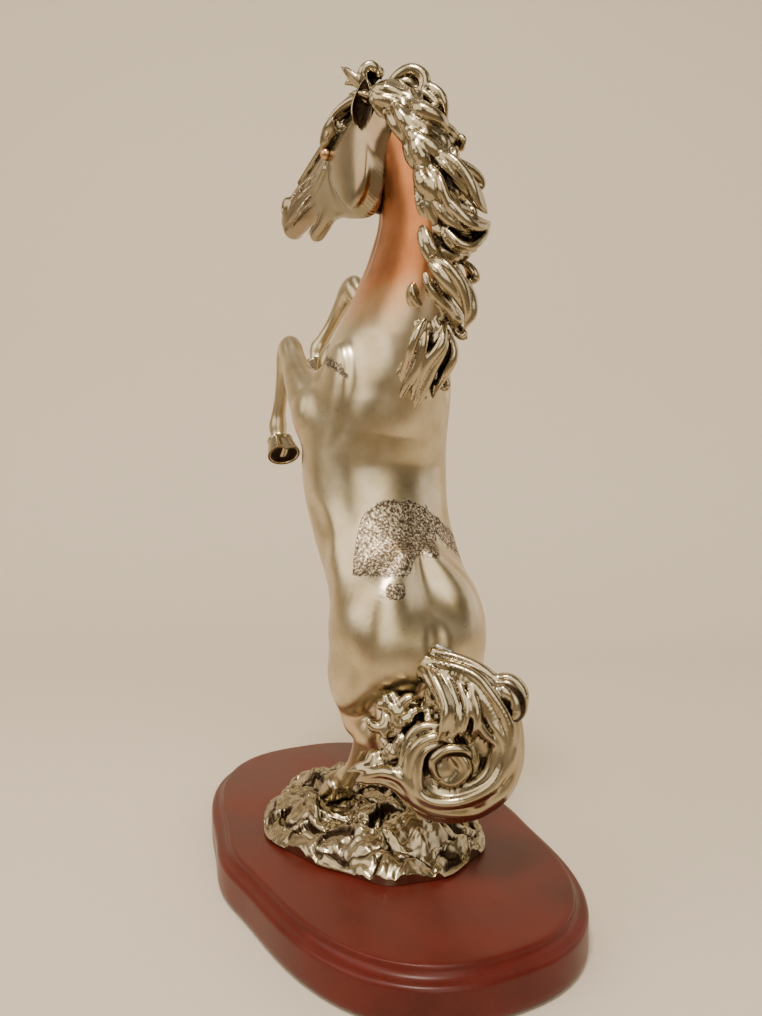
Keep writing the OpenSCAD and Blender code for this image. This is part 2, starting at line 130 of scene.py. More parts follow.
def curve(rows, count):
    """Catmull-Rom: count places through the rows, the last axis but one, evenly spread in row number."""
    p = np.asarray(rows, float)
    n = p.shape[-2] - 1
    first = 2 * p[..., :1, :] - p[..., 1:2, :]
    last = 2 * p[..., -1:, :] - p[..., -2:-1, :]
    q = np.concatenate([first, p, last], axis=-2)
    t = np.linspace(0, n, count)
    i = np.minimum(t.astype(int), n - 1)
    f = (t - i)[:, None]
    a, b, c, d = (q[..., i + j, :] for j in range(4))
    return (2 * b + (c - a) * f + (2 * a - 5 * b + 4 * c - d) * f ** 2
            + (3 * b - a - 3 * c + d) * f ** 3) / 2


def ripple(p, size, seed, count=10):
    """Soft noise from -1 to 1: the mean of sine waves of about the given size in random directions."""
    rng = np.random.default_rng(seed)
    k = unit(rng.normal(size=(count, 3))) * (2 * math.pi / size) * rng.uniform(0.7, 1.5, (count, 1))
    return np.sin(p @ k.T + rng.uniform(0, 2 * math.pi, count)).sum(-1) / math.sqrt(count) / 1.2


# ---- meshes ----
def build(name, points, faces, attributes=None):
    """Puts points (part millimetres) and a list of face arrays into a new object, as whole arrays."""
    points = np.asarray(points, float)
    volume = sum((np.cross(points[f[:, 0]], points[f[:, i + 1]]) * points[f[:, i + 2]]).sum()
                 for f in faces for i in range(f.shape[1] - 2))
    if volume < 0:
        faces = [f[:, ::-1] for f in faces]
    mesh = bpy.data.meshes.new(name)
    mesh.vertices.add(len(points))
    mesh.vertices.foreach_set("co", (points * MM).astype(np.float32).ravel())
    corner = np.concatenate([f.ravel() for f in faces]).astype(np.int32)
    sizes = np.concatenate([np.full(len(f), f.shape[1]) for f in faces])
    mesh.loops.add(len(corner))
    mesh.loops.foreach_set("vertex_index", corner)
    mesh.polygons.add(len(sizes))
    mesh.polygons.foreach_set("loop_start", np.concatenate([[0], np.cumsum(sizes)[:-1]]).astype(np.int32))
    mesh.polygons.foreach_set("use_smooth", np.ones(len(sizes), bool))
    for key, values in (attributes or {}).items():
        mesh.attributes.new(key, "FLOAT", "POINT").data.foreach_set(
            "value", np.asarray(values, np.float32).ravel())
    mesh.update(calc_edges=True)
    mesh.validate()
    piece = bpy.data.objects.new(name, mesh)
    bpy.context.scene.collection.objects.link(piece)
    return piece


def finish_piece(piece, material, nodes):
    """Gives a piece its material and its body, and hides the CAD nodes that it stands for."""
    piece.data.materials.clear()
    piece.data.materials.append(material)
    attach(piece, "root")
    if nodes:
        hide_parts(*nodes)
    return piece


def strand_grid(lines, rings, sides):
    """Quads and end fans for many closed tubes whose points are stored line by line, ring by ring, then
    one pole at each end of each line."""
    ring = np.arange(rings * sides).reshape(rings, sides)
    a, b = ring[:-1], ring[1:]
    quads = np.stack([a, np.roll(a, -1, 1), np.roll(b, -1, 1), b], -1).reshape(-1, 4)
    start, end = rings * sides, rings * sides + 1
    caps = [np.stack([np.full(sides, start), np.roll(ring[0], -1), ring[0]], -1),
            np.stack([np.full(sides, end), ring[-1], np.roll(ring[-1], -1)], -1)]
    step = (np.arange(lines) * (rings * sides + 2))[:, None, None]
    return (quads[None] + step).reshape(-1, 4), (np.concatenate(caps)[None] + step).reshape(-1, 3)


def tubes(lines, width, depth, side, rings=26, sides=16, ridges=0, ridge=0.0, twist=0.0, phase=0.0):
    """Carries an oval profile along each line. Ring i stands across the line's direction; its point j is
    at the centre + across * width * cos(a) + out * depth * sin(a), all times 1 + ridge * cos(ridges * a +
    twist along the line + phase), which cuts the grooves between a lock's strands. Returns points, faces
    and how deep in a groove each point lies, 0 to 1. lines is (count, stations, 3); width and depth are
    (count, rings)."""
    centre = curve(lines, rings)
    along = unit(np.gradient(centre, axis=1))
    side = np.broadcast_to(np.asarray(side, float), centre.shape)
    across = unit(side - (side * along).sum(-1, keepdims=True) * along)
    out = np.cross(along, across)
    a = np.linspace(0, 2 * math.pi, sides, endpoint=False)
    s = np.linspace(0, 1, rings)[None, :, None]
    groove = np.cos(ridges * a + np.reshape(twist, (-1, 1, 1)) * s + np.reshape(phase, (-1, 1, 1)))
    swell = 1 + ridge * groove
    x = np.cos(a) * width[..., None] * swell
    y = np.sin(a) * depth[..., None] * swell
    points = centre[:, :, None] + across[:, :, None] * x[..., None] + out[:, :, None] * y[..., None]
    count = len(centre)
    flat = points.reshape(count, -1, 3)
    poles = centre[:, [0, -1]]
    dents = np.broadcast_to(0.5 - 0.5 * groove, x.shape).reshape(count, -1)
    return (np.concatenate([flat, poles], 1).reshape(-1, 3), list(strand_grid(count, rings, sides)),
            np.concatenate([dents, np.zeros((count, 2))], 1).ravel())


# ---- clay: blended forms ----
class Clay:
    """A grid of distances to the surface being modelled. Each limb or lump is an oval form, and forms run
    into each other with a fillet of the size of blend."""

    def __init__(self, low, high, step):
        self.low = np.array(low, float)
        self.step = step
        self.axes = [np.arange(a, b, step, dtype=np.float32) for a, b in zip(low, high)]
        self.distance = np.full([len(a) for a in self.axes], FAR, np.float32)

    def window(self, low, high):
        """The slices of the grid between two corners."""
        first = np.clip(np.floor((low - self.low) / self.step).astype(int), 0, None)
        last = np.ceil((high - self.low) / self.step).astype(int) + 1
        return [slice(a, max(a, min(b, len(c)))) for a, b, c in zip(first, last, self.axes)]

    def limb(self, stations, blend=6.0, side=(0, 1, 0), carve=False, spacing=1.5, thickest=7.0):
        """Sweeps ovals along stations [x, y, z, half width, depth over, depth under]. With p the place in
        an oval's own axes over its radii, k0 = |p| and k1 = |p / radii|, its distance is k0 (k0 - 1) /
        k1."""
        rows = np.asarray(stations, float)
        length = np.linalg.norm(np.diff(rows[:, :3], axis=0), axis=1).sum()
        s = curve(rows, max(int(length / spacing), 2))
        along = unit(np.gradient(s[:, :3], axis=0))
        across = unit(side - (along @ np.asarray(side, float))[:, None] * along)
        over = np.cross(across, along)
        turn = np.stack([along, across, over], 1)
        radii = np.stack([np.minimum(s[:, 3:].min(1), thickest), s[:, 3], s[:, 4], s[:, 5]], 1).clip(0.3)
        self.ovals(s[:, :3], turn, radii, blend, carve)

    def lump(self, centre, radii, blend, along=(0, 0, 1), across=(0, 1, 0), carve=False):
        """One oval form: radii along, across and over."""
        along = unit(np.asarray(along, float))
        across = unit(np.asarray(across, float) - (along @ np.asarray(across, float)) * along)
        turn = np.stack([along, across, np.cross(across, along)])[None]
        radii = np.array([[radii[0], radii[1], radii[2], radii[2]]], float)
        self.ovals(np.array([centre], float), turn, radii, blend, carve)

    def ovals(self, centres, turns, radii, blend, carve):
        largest = np.stack([radii[:, 0], radii[:, 1], radii[:, 2:].max(1)], 1)
        reach = np.sqrt(((turns * largest[:, :, None]) ** 2).sum(1)) + blend + 2 * self.step
        box = self.window((centres - reach).min(0), (centres + reach).max(0))
        own = np.full([b.stop - b.start for b in box], FAR, np.float32)
        for c, m, r, e in zip(centres, turns.astype(np.float32), radii.astype(np.float32), reach):
            part = self.window(c - e, c + e)
            x, y, z = np.ix_(*(axis[w] - np.float32(v) for axis, w, v in zip(self.axes, part, c)))
            u, v, w = (x * row[0] + y * row[1] + z * row[2] for row in m)
            depth = np.where(w > 0, r[2], r[3])
            p = (u / r[0]) ** 2 + (v / r[1]) ** 2 + (w / depth) ** 2
            q = (u / r[0] ** 2) ** 2 + (v / r[1] ** 2) ** 2 + (w / depth ** 2) ** 2
            d = np.sqrt(p) * (np.sqrt(p) - 1) / np.sqrt(q + 1e-12)
            here = tuple(slice(a.start - b.start, a.stop - b.start) for a, b in zip(part, box))
            own[here] = np.minimum(own[here], d)
        sign = -1 if carve else 1
        there = self.distance[tuple(box)] * sign
        h = np.clip(0.5 + 0.5 * (own - there) / blend, 0, 1)
        self.distance[tuple(box)] = sign * (own + (there - own) * h - blend * h * (1 - h))

    def surface(self, rounds=4, probe=8):
        """The zero surface as quads, relaxed: each point moves half way to the mean of its neighbours and
        then as far back, which takes out the grid's steps and keeps the volume. A copy is then relaxed
        without the way back: a point in a groove rises by that, and one on a ridge sinks. Returns points,
        quads and the rise, as 0.5 on the flat and 1 deep in a groove."""
        grid = openvdb.FloatGrid(FAR)
        grid.copyFromArray(self.distance)
        points, quads = grid.convertToQuads(isovalue=0.0)
        p = points.astype(float) * self.step + self.low
        quads = quads.astype(np.int64)
        a, b = quads.ravel(), np.roll(quads, -1, 1).ravel()
        share = 1 / (np.bincount(a, minlength=len(p)) + np.bincount(b, minlength=len(p)))

        def relaxed(p, factor):
            mean = [(np.bincount(a, p[b, i], len(p)) + np.bincount(b, p[a, i], len(p))) * share
                    for i in range(3)]
            return p + factor * (np.stack(mean, 1) - p)

        for factor in (0.5, -0.52) * rounds:
            p = relaxed(p, factor)
        c = p[quads]
        face = np.cross(c[:, 2] - c[:, 0], c[:, 3] - c[:, 1])
        if (face * c[:, 0]).sum() < 0:
            quads, face = quads[:, ::-1], -face
        normal = unit(np.stack([np.bincount(quads.ravel(), np.repeat(face[:, i], 4), len(p))
                                for i in range(3)], 1))
        q = p
        for _ in range(probe):
            q = relaxed(q, 0.7)
        rise = ((q - p) * normal).sum(1) / self.step
        return p, quads, np.clip(0.5 + rise * 0.5, 0, 1)


# ---- the body ----
TORSO = [[45, 0, 116, 13, 11, 10], [45, 0, 122, 29, 26, 25], [43, 0, 138, 39, 32, 34],
         [37, 0, 160, 39, 25, 38],
         [25, 0, 180, 38, 24, 42], [12, 0, 200, 39, 28, 46], [3, 0, 224, 41, 35, 50],
         [1, 0, 246, 40, 41, 50],
         [3, 0, 266, 36, 45, 46], [5, 0, 283, 31, 40, 39], [3, 0, 297, 24, 28, 31],
         [1, 0, 304, 12, 14, 16]]
NECK = [[4, 0, 262, 22, 34, 36], [12, 1, 285, 26, 43, 44], [25, 2.5, 308, 22, 41, 42],
        [36, 3, 330, 17.5, 36, 37],
        [44, 2, 352, 14.5, 31, 31], [46, -1, 375, 13.5, 25, 25], [43, -5, 395, 13, 21, 21],
        [37, -11, 409, 10, 14, 15]]


def haunch(s):
    return [[49, s * 8, 180, 7, 10, 10], [48, s * 18, 160, 17, 25, 21], [43, s * 22, 140, 19, 30, 28],
            [36, s * 24.5, 123, 14, 22, 24], [34, s * 26, 114, 9, 13, 14]]


LEFT_FORE = [
    [[9, -15, 240, 7, 9, 9], [-3, -33, 254, 11, 15, 15], [-14, -35, 265, 10.5, 14, 13],
     [-27, -35.5, 279, 9, 10.5, 10], [-39, -35, 292, 7.2, 7.6, 7.6], [-47, -34.5, 300, 7, 7.6, 7],
     [-50, -34.5, 303, 5, 5, 5]],
    [[-47, -34.5, 303, 5, 5, 5], [-52, -34.7, 298, 6.6, 6.8, 6.8], [-58, -35, 287, 5, 5, 5.3],
     [-63, -35.5, 274, 4.1, 4.0, 4.9], [-67, -36, 262, 4.4, 4.4, 5.0], [-68.5, -36, 255, 5.6, 5.2, 6.4],
     [-67, -36, 249, 5.0, 4.8, 5.2], [-64, -36, 245, 5.2, 5.2, 5.2]]]
RIGHT_FORE = [
    [[8, 12, 258, 7, 9, 9], [-8, 25, 282, 11, 15, 15], [-20, 24, 298, 10, 13, 13],
     [-34, 19, 315, 8.6, 10.5, 10],
     [-47, 14, 332, 7.2, 7.6, 7.6], [-55, 11, 342, 7, 7.6, 7], [-58, 10.5, 346, 5, 5, 5]],
    [[-55, 11, 346, 5, 5, 5], [-60, 9.5, 342, 6.6, 6.8, 6.8], [-68, 7, 334, 5, 5, 5.3],
     [-76, 4, 324, 4.1, 4.0, 4.9], [-83, 0, 314, 4.4, 4.4, 5.0], [-86, -2, 309, 5.6, 5.2, 6.4],
     [-86, -3, 303, 5.0, 4.8, 5.2], [-84, -3.5, 298, 5.2, 5.2, 5.2]]]


def hind(s, fore):
    return [
        [[46, s * 20, 152, 6, 8, 8], [40, s * 24, 136, 9, 20, 18], [35, s * 26, 122, 11.5, 18, 19],
         [36, s * 26.5, 110, 10, 13.5, 13.5], [40, s * 25.5, 101, 7.8, 9.5, 9],
         [45, s * 24.5, 92, 6.8, 8.5, 7.6],
         [47, s * 24, 87, 5, 6, 5]],
        [[48, s * 24.5, 96, 4.5, 5, 5], [45, s * 24.5, 90, 6.6, 7.6, 6.6],
         [39 - fore, s * 23.5, 80, 5, 5.4, 5.4],
         [29 - fore, s * 22.8, 69, 4.2, 4.4, 4.8], [20 - fore, s * 22, 60, 5, 5, 5.4],
         [15 - fore, s * 22, 56, 6, 5.8, 6.6], [9 - fore, s * 21.5, 52, 5, 5, 5.2],
         [4 - fore, s * 21.5, 49, 5.4, 5.4, 5.4]]]


LEFT_HIND, RIGHT_HIND = hind(-1, 4), hind(1, -4)


def body_clay(step):
    """The torso, haunches, neck and legs as one blended skin, with the muscles raised and the furrows
    cut."""
    clay = Clay([-102, -56, 38], [102, 58, 430], step)
    clay.limb(TORSO, 1, spacing=0.7, thickest=13)
    for s in (-1, 1):
        clay.limb(haunch(s), 7)
    clay.limb(NECK, 9, spacing=0.7, thickest=11)
    for leg, root in ((LEFT_HIND, 7), (RIGHT_HIND, 7), (LEFT_FORE, 8), (RIGHT_FORE, 8)):
        clay.limb(leg[0], root)
        clay.limb(leg[1], 1.6)
    for s in (-1, 1):
        clay.lump([14, s * 30, 268], [26, 6, 15], 8, along=(0.35, 0, 1))  # shoulder blade
        clay.lump([-6, s * 31, 258], [15, 8, 11], 6,
                  along=(-0.6, 0, 0.8))  # muscle behind the upper foreleg
        clay.lump([-30, s * 12, 290], [14, 11, 9], 6, along=(0.3, 0, 1))  # breast
        clay.lump([42, s * 33, 120], [17, 9, 15], 7, along=(0.1, 0, 1))  # thigh
        clay.lump([38, s * 31, 100], [10, 4.5, 7], 4, along=(0.4, 0, -1))  # second thigh
    clay.limb([[77, 0, 152, 1, 1, 1], [77, 0, 140, 2, 3, 3],
               [78, 0, 126, 2.4, 4, 4], [68, 0, 112, 3, 6, 6]], 7, carve=True)  # furrow under the dock
    for s in (-1, 1):
        clay.limb([[4, s * 42, 206, 2, 2, 2], [20, s * 42, 192, 2, 3, 3], [12, s * 42, 176, 2, 3, 3]], 9,
                  carve=True)  # hollow of the flank
    for s in (-1, 1):
        clay.limb([[33, -6 + s * 11, 396, 1.2, 1.4, 1.4], [33.5, -2 + s * 12.5, 376, 1.4, 1.6, 1.6],
                   [28.5, 1 + s * 14, 353, 1.2, 1.4, 1.4], [19, 2 + s * 17.5, 334, 0.6, 0.7, 0.7]],
                  4.5, carve=True)  # jugular furrow
    return clay


def head_clay(step):
    """The head in its own axes: x along the face from the poll to the lips, y to the horse's right, z up.
    The face is a plane along the top; the cheek plates drop from it to the round of the jaw, and the mouth
    is cut between the muzzle and the lower jaw."""
    clay = Clay([-14, -21, -54], [116, 21, 22], step)
    up = dict(side=(0, -1, 0))
    clay.limb([[-6, 0, -10, 8, 12, 14], [4, 0, -8, 10, 19, 25], [14, 0, -8, 11.5, 20, 33],
               [25, 0, -9, 12, 21.5, 36],
               [37, 0, -9, 11.5, 22, 29.5], [49, 0, -8, 9.4, 21, 22.5], [62, 0, -6, 7.4, 19, 18.5],
               [75, 0, -4, 6, 17, 15.5], [88, 0, -3, 6.6, 15.5, 13.5], [98, 0, -3, 7.4, 13, 12.5],
               [105, 0, -3.5, 6.8, 9.5, 10.5], [109, 0, -4, 4, 5, 6]], 1, **up)
    clay.limb([[46, 0, -22, 5.5, 6, 8], [60, 0, -22, 4.6, 4, 5.5], [71, 0, -24.5, 4.6, 3.6, 5],
               [78, 0, -26, 4.6, 3, 4.4], [81, 0, -26.5, 3, 2, 3]], 3, **up)
    for s in (-1, 1):
        clay.lump([21, s * 9, -22], [15, 4.2, 20], 4, along=(1, 0, 0.1))  # cheek plate
        clay.lump([30, s * 12.5, 6.5], [9, 4.2, 4], 3, along=(1, 0, -0.12))  # brow
        clay.lump([37, s * 12.6, 3.6], [4.4, 3, 3.2], 2, along=(1, 0, -0.4))  # the brow's front knob
        clay.lump([20, s * 12, 6], [6, 2.5, 4], 3, along=(1, 0, 0), carve=True)  # temple
        clay.lump([40, s * 14.6, -2.6], [5.2, 3.0, 3.2], 1.4, along=(1, 0, -0.25),
                  carve=True)  # eye socket
        clay.limb([[45, s * 10.6, -7, 1.2, 1.6, 1.6], [55, s * 8.8, -8, 1.6, 1.8, 1.8],
                   [66, s * 7, -8.5, 1, 1.3, 1.3]], 2.2)  # facial crest
        clay.limb([[50, s * 6.5, 10.5, 1.6, 1.4, 1.4], [66, s * 5, 11, 1.4, 1.4, 1.4],
                   [84, s * 4, 10, 1.2, 1.2, 1.2]], 2)  # the nose bone's edge
        clay.limb([[50, s * 9, 3, 1, 1.2, 1.2], [64, s * 7.4, 3.5, 1, 1.2, 1.2],
                   [80, s * 6.6, 3, 1, 1, 1]], 2.6,
                  carve=True)  # the hollow beside it
        clay.lump([99, s * 6.4, 2.5], [5.6, 3, 4.6], 2, along=(1, 0, -0.5))  # the nostril's rim
        clay.lump([101, s * 9.2, 2.4], [3.8, 2.6, 2.6], 0.8, along=(1, 0, -0.9), carve=True)  # nostril
        clay.limb([[104, s * 6.2, -8, 0.8, 0.8, 0.8], [94, s * 7.4, -11, 0.8, 0.9, 0.9],
                   [84, s * 7, -14.5, 0.8, 0.9, 0.9], [72, s * 7, -18.5, 0.7, 0.8, 0.8]], 1,
                   carve=True)  # lip line
        for z0, z1, x0 in ((-1, 7, 60), (-5, 2, 62), (-9, -5, 66), (-13, -9, 70)):
            clay.limb([[x0, s * 7.6, z0, 0.4, 0.7, 0.7],
                       [x0 + 10, s * 6.7, (z0 * 0.6 + z1 * 0.4), 0.6, 0.9, 0.9],
                       [x0 + 22, s * 6.4, z1 - 3, 0.6, 0.9, 0.9],
                       [x0 + 31, s * 7, z1 - 4, 0.4, 0.6, 0.6]], 0.9)
        clay.limb([[34, s * 9.8, -40, 0.8, 1, 1], [40, s * 11.4, -28, 0.8, 1, 1],
                   [41, s * 12, -16, 0.8, 1, 1],
                   [38, s * 12.4, -7, 0.8, 1, 1]], 2.5, carve=True)  # in front of the cheek
    clay.lump([105, 0, -10], [4, 6, 4], 2.4, along=(1, 0, -0.5))  # upper lip
    clay.limb([[66, 0, -21.5, 3, 1.2, 1.2], [74, 0, -21, 4, 1.5, 1.5], [84, 0, -20.5, 5.5, 2.2, 2.2],
               [96, 0, -22, 7, 3.4, 3.4]], 1, carve=True, **up)  # the open mouth
    return clay


def skin_marks(p):
    """Masks over the body: copper flush where the plate is thin, and dull patches where it has been lost.
    The patches are laid out across and up the view from behind on the left, where they are seen."""
    x, y, z = p.T
    across = p @ RIGHT
    near = smooth(30, -10, p @ AWAY)

    def spot(cx, cy, cz, rx, ry, rz):
        return np.exp(-((x - cx) / rx) ** 2 - ((y - cy) / ry) ** 2 - ((z - cz) / rz) ** 2)

    flush = smooth(292, 332, z) * smooth(-34, -6, x) * (0.82 - 0.5 * smooth(8, 24, y))
    flush = flush + 0.25 * spot(44, -8, 300, 14, 12, 16)
    flush = flush + 0.5 * spot(-12, -42, 250, 10, 10, 8) + 0.42 * spot(-24, -28, 196, 16, 18, 24)
    flush = flush + 0.24 * smooth(116, 98, z) * smooth(56, 72, z)
    off = (across - 12) / 22.5
    dome = 210.5 - 10 * off ** 2 - 22 * off ** 10
    foot = 174 + 8.5 * smooth(17, 22, across)
    croup = np.minimum(smooth(-5, 5, dome - z), smooth(-5, 5, z - foot)) * near
    drip = 0.85 * np.exp(-((across - 11) / 5) ** 4 - ((z - 167) / 4.5) ** 4) * near
    along = (across - 33) / 20
    strip = np.exp(-((z - 197 + 19 * along) / 5.5) ** 2) * smooth(-0.4, -0.2, along)
    strip = strip * smooth(1.1, 0.9, along) * near
    along = (across + 35) / 22
    shoulder = 0.62 * np.exp(-((z - 293 + 18 * along) / 4.5) ** 2) * smooth(-0.2, 0.1, along)
    shoulder = shoulder * smooth(1.15, 0.85, along)
    worn = np.maximum.reduce([croup, drip, 0.95 * strip, shoulder * near])
    return {"flush": np.clip(flush, 0, 1), "tarnish": worn}


# ---- hair ----
CREST = [[32, -13, 422], [50, -10, 419], [66, -5, 402], [74, 1, 380], [76, 5, 356], [73, 7, 332],
         [67, 7, 310],
         [60, 6, 288], [52, 5, 266]]


def from_view(origin, rows):
    """[right, up, away] about an origin, in that view's own axes, to drawn space."""
    p = np.asarray(rows, float)
    return np.asarray(origin, float) + p[..., :1] * RIGHT + p[..., 1:2] * HIGH + p[..., 2:3] * AWAY


def taper(s, thick=0.4, root=0.5):
    """A lock's width along it: quick to swell, thickest at the share thick of the way, thin to a tip."""
    rise = np.sin(np.clip(s / thick, 0, 1) * math.pi / 2) ** root
    fall = np.sin(np.clip((1 - s) / (1 - thick), 0, 1) * math.pi / 2) ** 0.8
    return np.maximum(np.minimum(rise, fall), 0.06)


def lock(clay, path, width, strands, rng, twist=2.0, blend=0.9, thick=0.4, root=0.5, flat=1.0):
    """One lock of hair: strands laid round a path, each at its own place in the path's cross-section, which
    turns by twist along the lock. Their blend is small, so the grooves between them stay sharp."""
    rows = np.asarray(path, float)
    length = np.linalg.norm(np.diff(rows, axis=0), axis=1).sum()
    count = max(int(length / 2.2), 5)
    centre = curve(rows, count)
    along = unit(np.gradient(centre, axis=0))
    across = unit(np.cross(along, AWAY) + 1e-6)
    out = np.cross(along, across)
    s = np.linspace(0, 1, count)
    size = taper(s, thick, root)
    turn = rng.uniform(0, 6.28)
    for i in range(strands):
        a = turn + 6.28 * i / strands + twist * s
        spread = width * 0.52 * size * (strands > 1)
        place = centre + (np.cos(a) * spread)[:, None] * across
        place = place + (np.sin(a) * spread * flat)[:, None] * out
        own = width * (1.0 if strands == 1 else 0.5) * size * rng.uniform(0.85, 1.15) + 0.25
        clay.limb(np.column_stack([place, own, own * 0.9, own * 0.9]), blend, side=tuple(AWAY),
                  spacing=1.3)


def crest_axes(t):
    """A place on the mane's crest, with the directions along it, outwards from the neck, and to the
    left."""
    line = curve(CREST, 200)
    i = int(np.clip(t, 0, 1) * 199)
    along = unit(np.gradient(line, axis=0))[i]
    back = unit(np.cross(along, [0, 1.0, 0]))
    back = back if back[0] + back[2] > 0 else -back
    return line[i], along, back, unit(np.cross(along, back) * np.sign(np.cross(along, back)[1]) * -1)


def mane_clay(step):
    """The mane: a ridge along the crest and rows of locks that start on the neck's left face, cross the
    crest and fall behind it, each with a wave of its own and a flicked tip."""
    clay = Clay([8, -36, 246], [112, 40, 444], step)
    rng = np.random.default_rng(7)
    ridge = curve(CREST, 30)
    inward = np.array([crest_axes(t)[2] for t in np.linspace(0, 1, 30)])
    for offset, width in ((-9.0, 8.0), (-5.0, 6.5)):
        wide = width * np.minimum(1, 0.5 + 2 * np.linspace(1, 0, 30))
        clay.limb(np.column_stack([ridge + inward * offset + [0, -1.5, 0], wide, wide, wide]), 2.5)
    for count, width, fall, strands, inner, outer in ((18, 8.8, 27, 4, 13, -6), (16, 8.2, 24, 3, 9, -3),
                                                      (13, 7.0, 20, 3, 4, -1), (12, 6.0, 17, 2, -3, -1)):
        for i in range(count):
            t = (i + rng.uniform(0.2, 0.8)) / count
            c, along, back, left = crest_axes(0.05 + 0.93 * t)
            drop = fall * rng.uniform(0.7, 1.3)
            wave, phase, hook = rng.uniform(1.5, 4.5), rng.uniform(0, 6.28), rng.uniform(-1, 1)
            reach = outer - 7 * smooth(0.4, 0.05, t) - 6 * smooth(0.7, 0.95, t) + rng.uniform(-2, 3)
            path = []
            for f in (0, 0.17, 0.34, 0.5, 0.66, 0.82, 0.92, 1):
                bend = wave * math.sin(5.5 * f + phase)
                curl = 4 * hook * max(f - 0.6, 0) / 0.4
                path.append(c + along * (drop * (f - 0.3) - abs(curl) * 0.8) + left
                            * (inner - 14 * f + bend)
                            + back * (-8 + (8 + reach) * math.sin(min(f * 1.6, 1.57)) + bend * 0.5
                                      + curl))
            lock(clay, path, width * rng.uniform(0.65, 1.05) * (1.05 - 0.3 * t), strands, rng,
                 rng.uniform(-3, 3), thick=rng.uniform(0.45, 0.75))
    at = (74, 5, 346)  # a few locks that stand clear of the rest
    for rows, width, strands in (
            ([[-8, 14, -2], [-1, 4, -7], [8, -3, -8], [14, -4, -6], [20, -1, -2]], 6.5, 3),
            ([[-4, -4, -6], [3, -13, -8], [10, -14, -7], [16, -8, -4], [20, -2, -2]], 4.5, 2),
            ([[-9, -20, -6], [-2, -26, -9], [6, -34, -8], [10, -44, -6], [8, -52, -4]], 6.0, 3),
            ([[-8, 30, -3], [0, 24, -8], [9, 14, -9], [14, 6, -8], [18, 2, -6]], 5.0, 3),
            ([[-8, 22, -6], [-4, 12, -8], [2, 2, -7], [0, -8, -3]], 5.5, 3)):
        lock(clay, from_view(at, rows), width, strands, rng, 2.5)
    foot = (60, 5, 288)
    for rows, width, strands in (
            ([[-4, 14, -4], [-8, 3, -6], [-10, -8, -1], [-15, -21, 7], [-20, -33, 16]], 6.0, 3),
            ([[4, 12, -2], [3, 1, -5], [-3, -10, 0], [-8, -24, 8], [-12, -36, 16]], 5.5, 3),
            ([[-8, 6, 2], [-14, -4, 3], [-19, -15, 8], [-23, -25, 17]], 4.6, 2),
            ([[6, 8, 0], [8, -3, 0], [5, -13, 5], [1, -24, 14]], 4.6, 2)):
        lock(clay, from_view(foot, rows), width, strands, rng, 2.5)
    return clay


def forelock_clay(step):
    """The short curls over the poll: two spikes, a ring, a hook and knobs, on a common root."""
    clay = Clay([-10, -50, 400], [72, 30, 446], step)
    rng = np.random.default_rng(3)
    at = (41, -14, 409)
    for rows, width, strands, thick in (
            ([[2, 8, 6], [-6, 8, 0], [-12, 12, -2], [-17, 17, -2], [-21, 21, 0]], 4.0, 2, 0.3),
            ([[-2, 9, 6], [-10, 14, 4], [-16, 16, 4], [-20, 15, 6]], 3.0, 1, 0.3),
            ([[0, 8, 8], [-9, 12, 12], [-19, 9, 16], [-27, 2, 18], [-30, -6, 17]], 4.6, 3, 0.35),
            ([[4, 8, 6], [-3, 12, 14], [-10, 12, 22], [-20, 5, 26], [-24, -5, 25]], 4.4, 3, 0.35),
            ([[-1, 8, 0], [-7, 11, -2], [-9.5, 16, -3], [-6, 19, -3], [-2, 17.5, -3], [-3, 14.5, -4]],
             4.8, 2, 0.6),
            ([[-4, 9, 2], [-8, 14, 2], [-5, 18, 1], [-1, 15, 0]], 4.5, 2, 0.5),
            ([[0, 5, 0], [4, 9, -4], [9, 12, -6], [14, 12.5, -7], [18, 9, -7], [16, 4, -7]], 6.4, 2, 0.7),
            ([[-4, 4, -5], [2, 5, -9], [8, 3, -10], [13, -3, -9]], 4.6, 2, 0.3),
            ([[10, 9, -2], [20, 6, -6], [28, 0, -8], [32, -8, -7]], 5.2, 3, 0.5),
            ([[6, 6, 4], [14, 12, 3], [24, 10, 2], [30, 4, 1]], 5.0, 3, 0.4)):
        lock(clay, from_view(at, rows), width, strands, rng, 2.0, thick=thick)
    for centre, radius in (([0, 6, 0], 6.5), ([10, 8, 2], 6.5), ([18, 5, 0], 6.5), ([25, 0, -2], 6),
                           ([3, 1, -7], 4)):
        clay.lump(from_view(at, centre), [radius] * 3, 2.0)
    return clay


TAIL_AT = (80.5, -1.5, 86.0)
SWIRL = [[-11, 44, 24], [-4, 46, 5], [12, 42, -4], [23, 33, -7], [29, 20, -8], [28, 4, -8], [23, -8, -8],
         [11, -16, -7],
         [-2, -16, -7], [-11, -10, -7], [-14, 1, -7], [-10, 9, -8], [-2, 12, -8], [6, 9, -9],
         [10, 2, -10],
         [7, -5, -10], [0, -6, -10], [-3, -1, -9]]
SWEEP = [[-11, 44, 24], [4, 44, 1], [22, 36, -3], [31, 22, -5], [32, 5, -5], [27, -9, -6], [18, -18, -6],
         [7, -22, -6], [-5, -20, -6], [-14, -13, -6], [-21, -7, -5], [-28, -5, -4], [-35, -7, -2],
         [-42, -11, 0]]


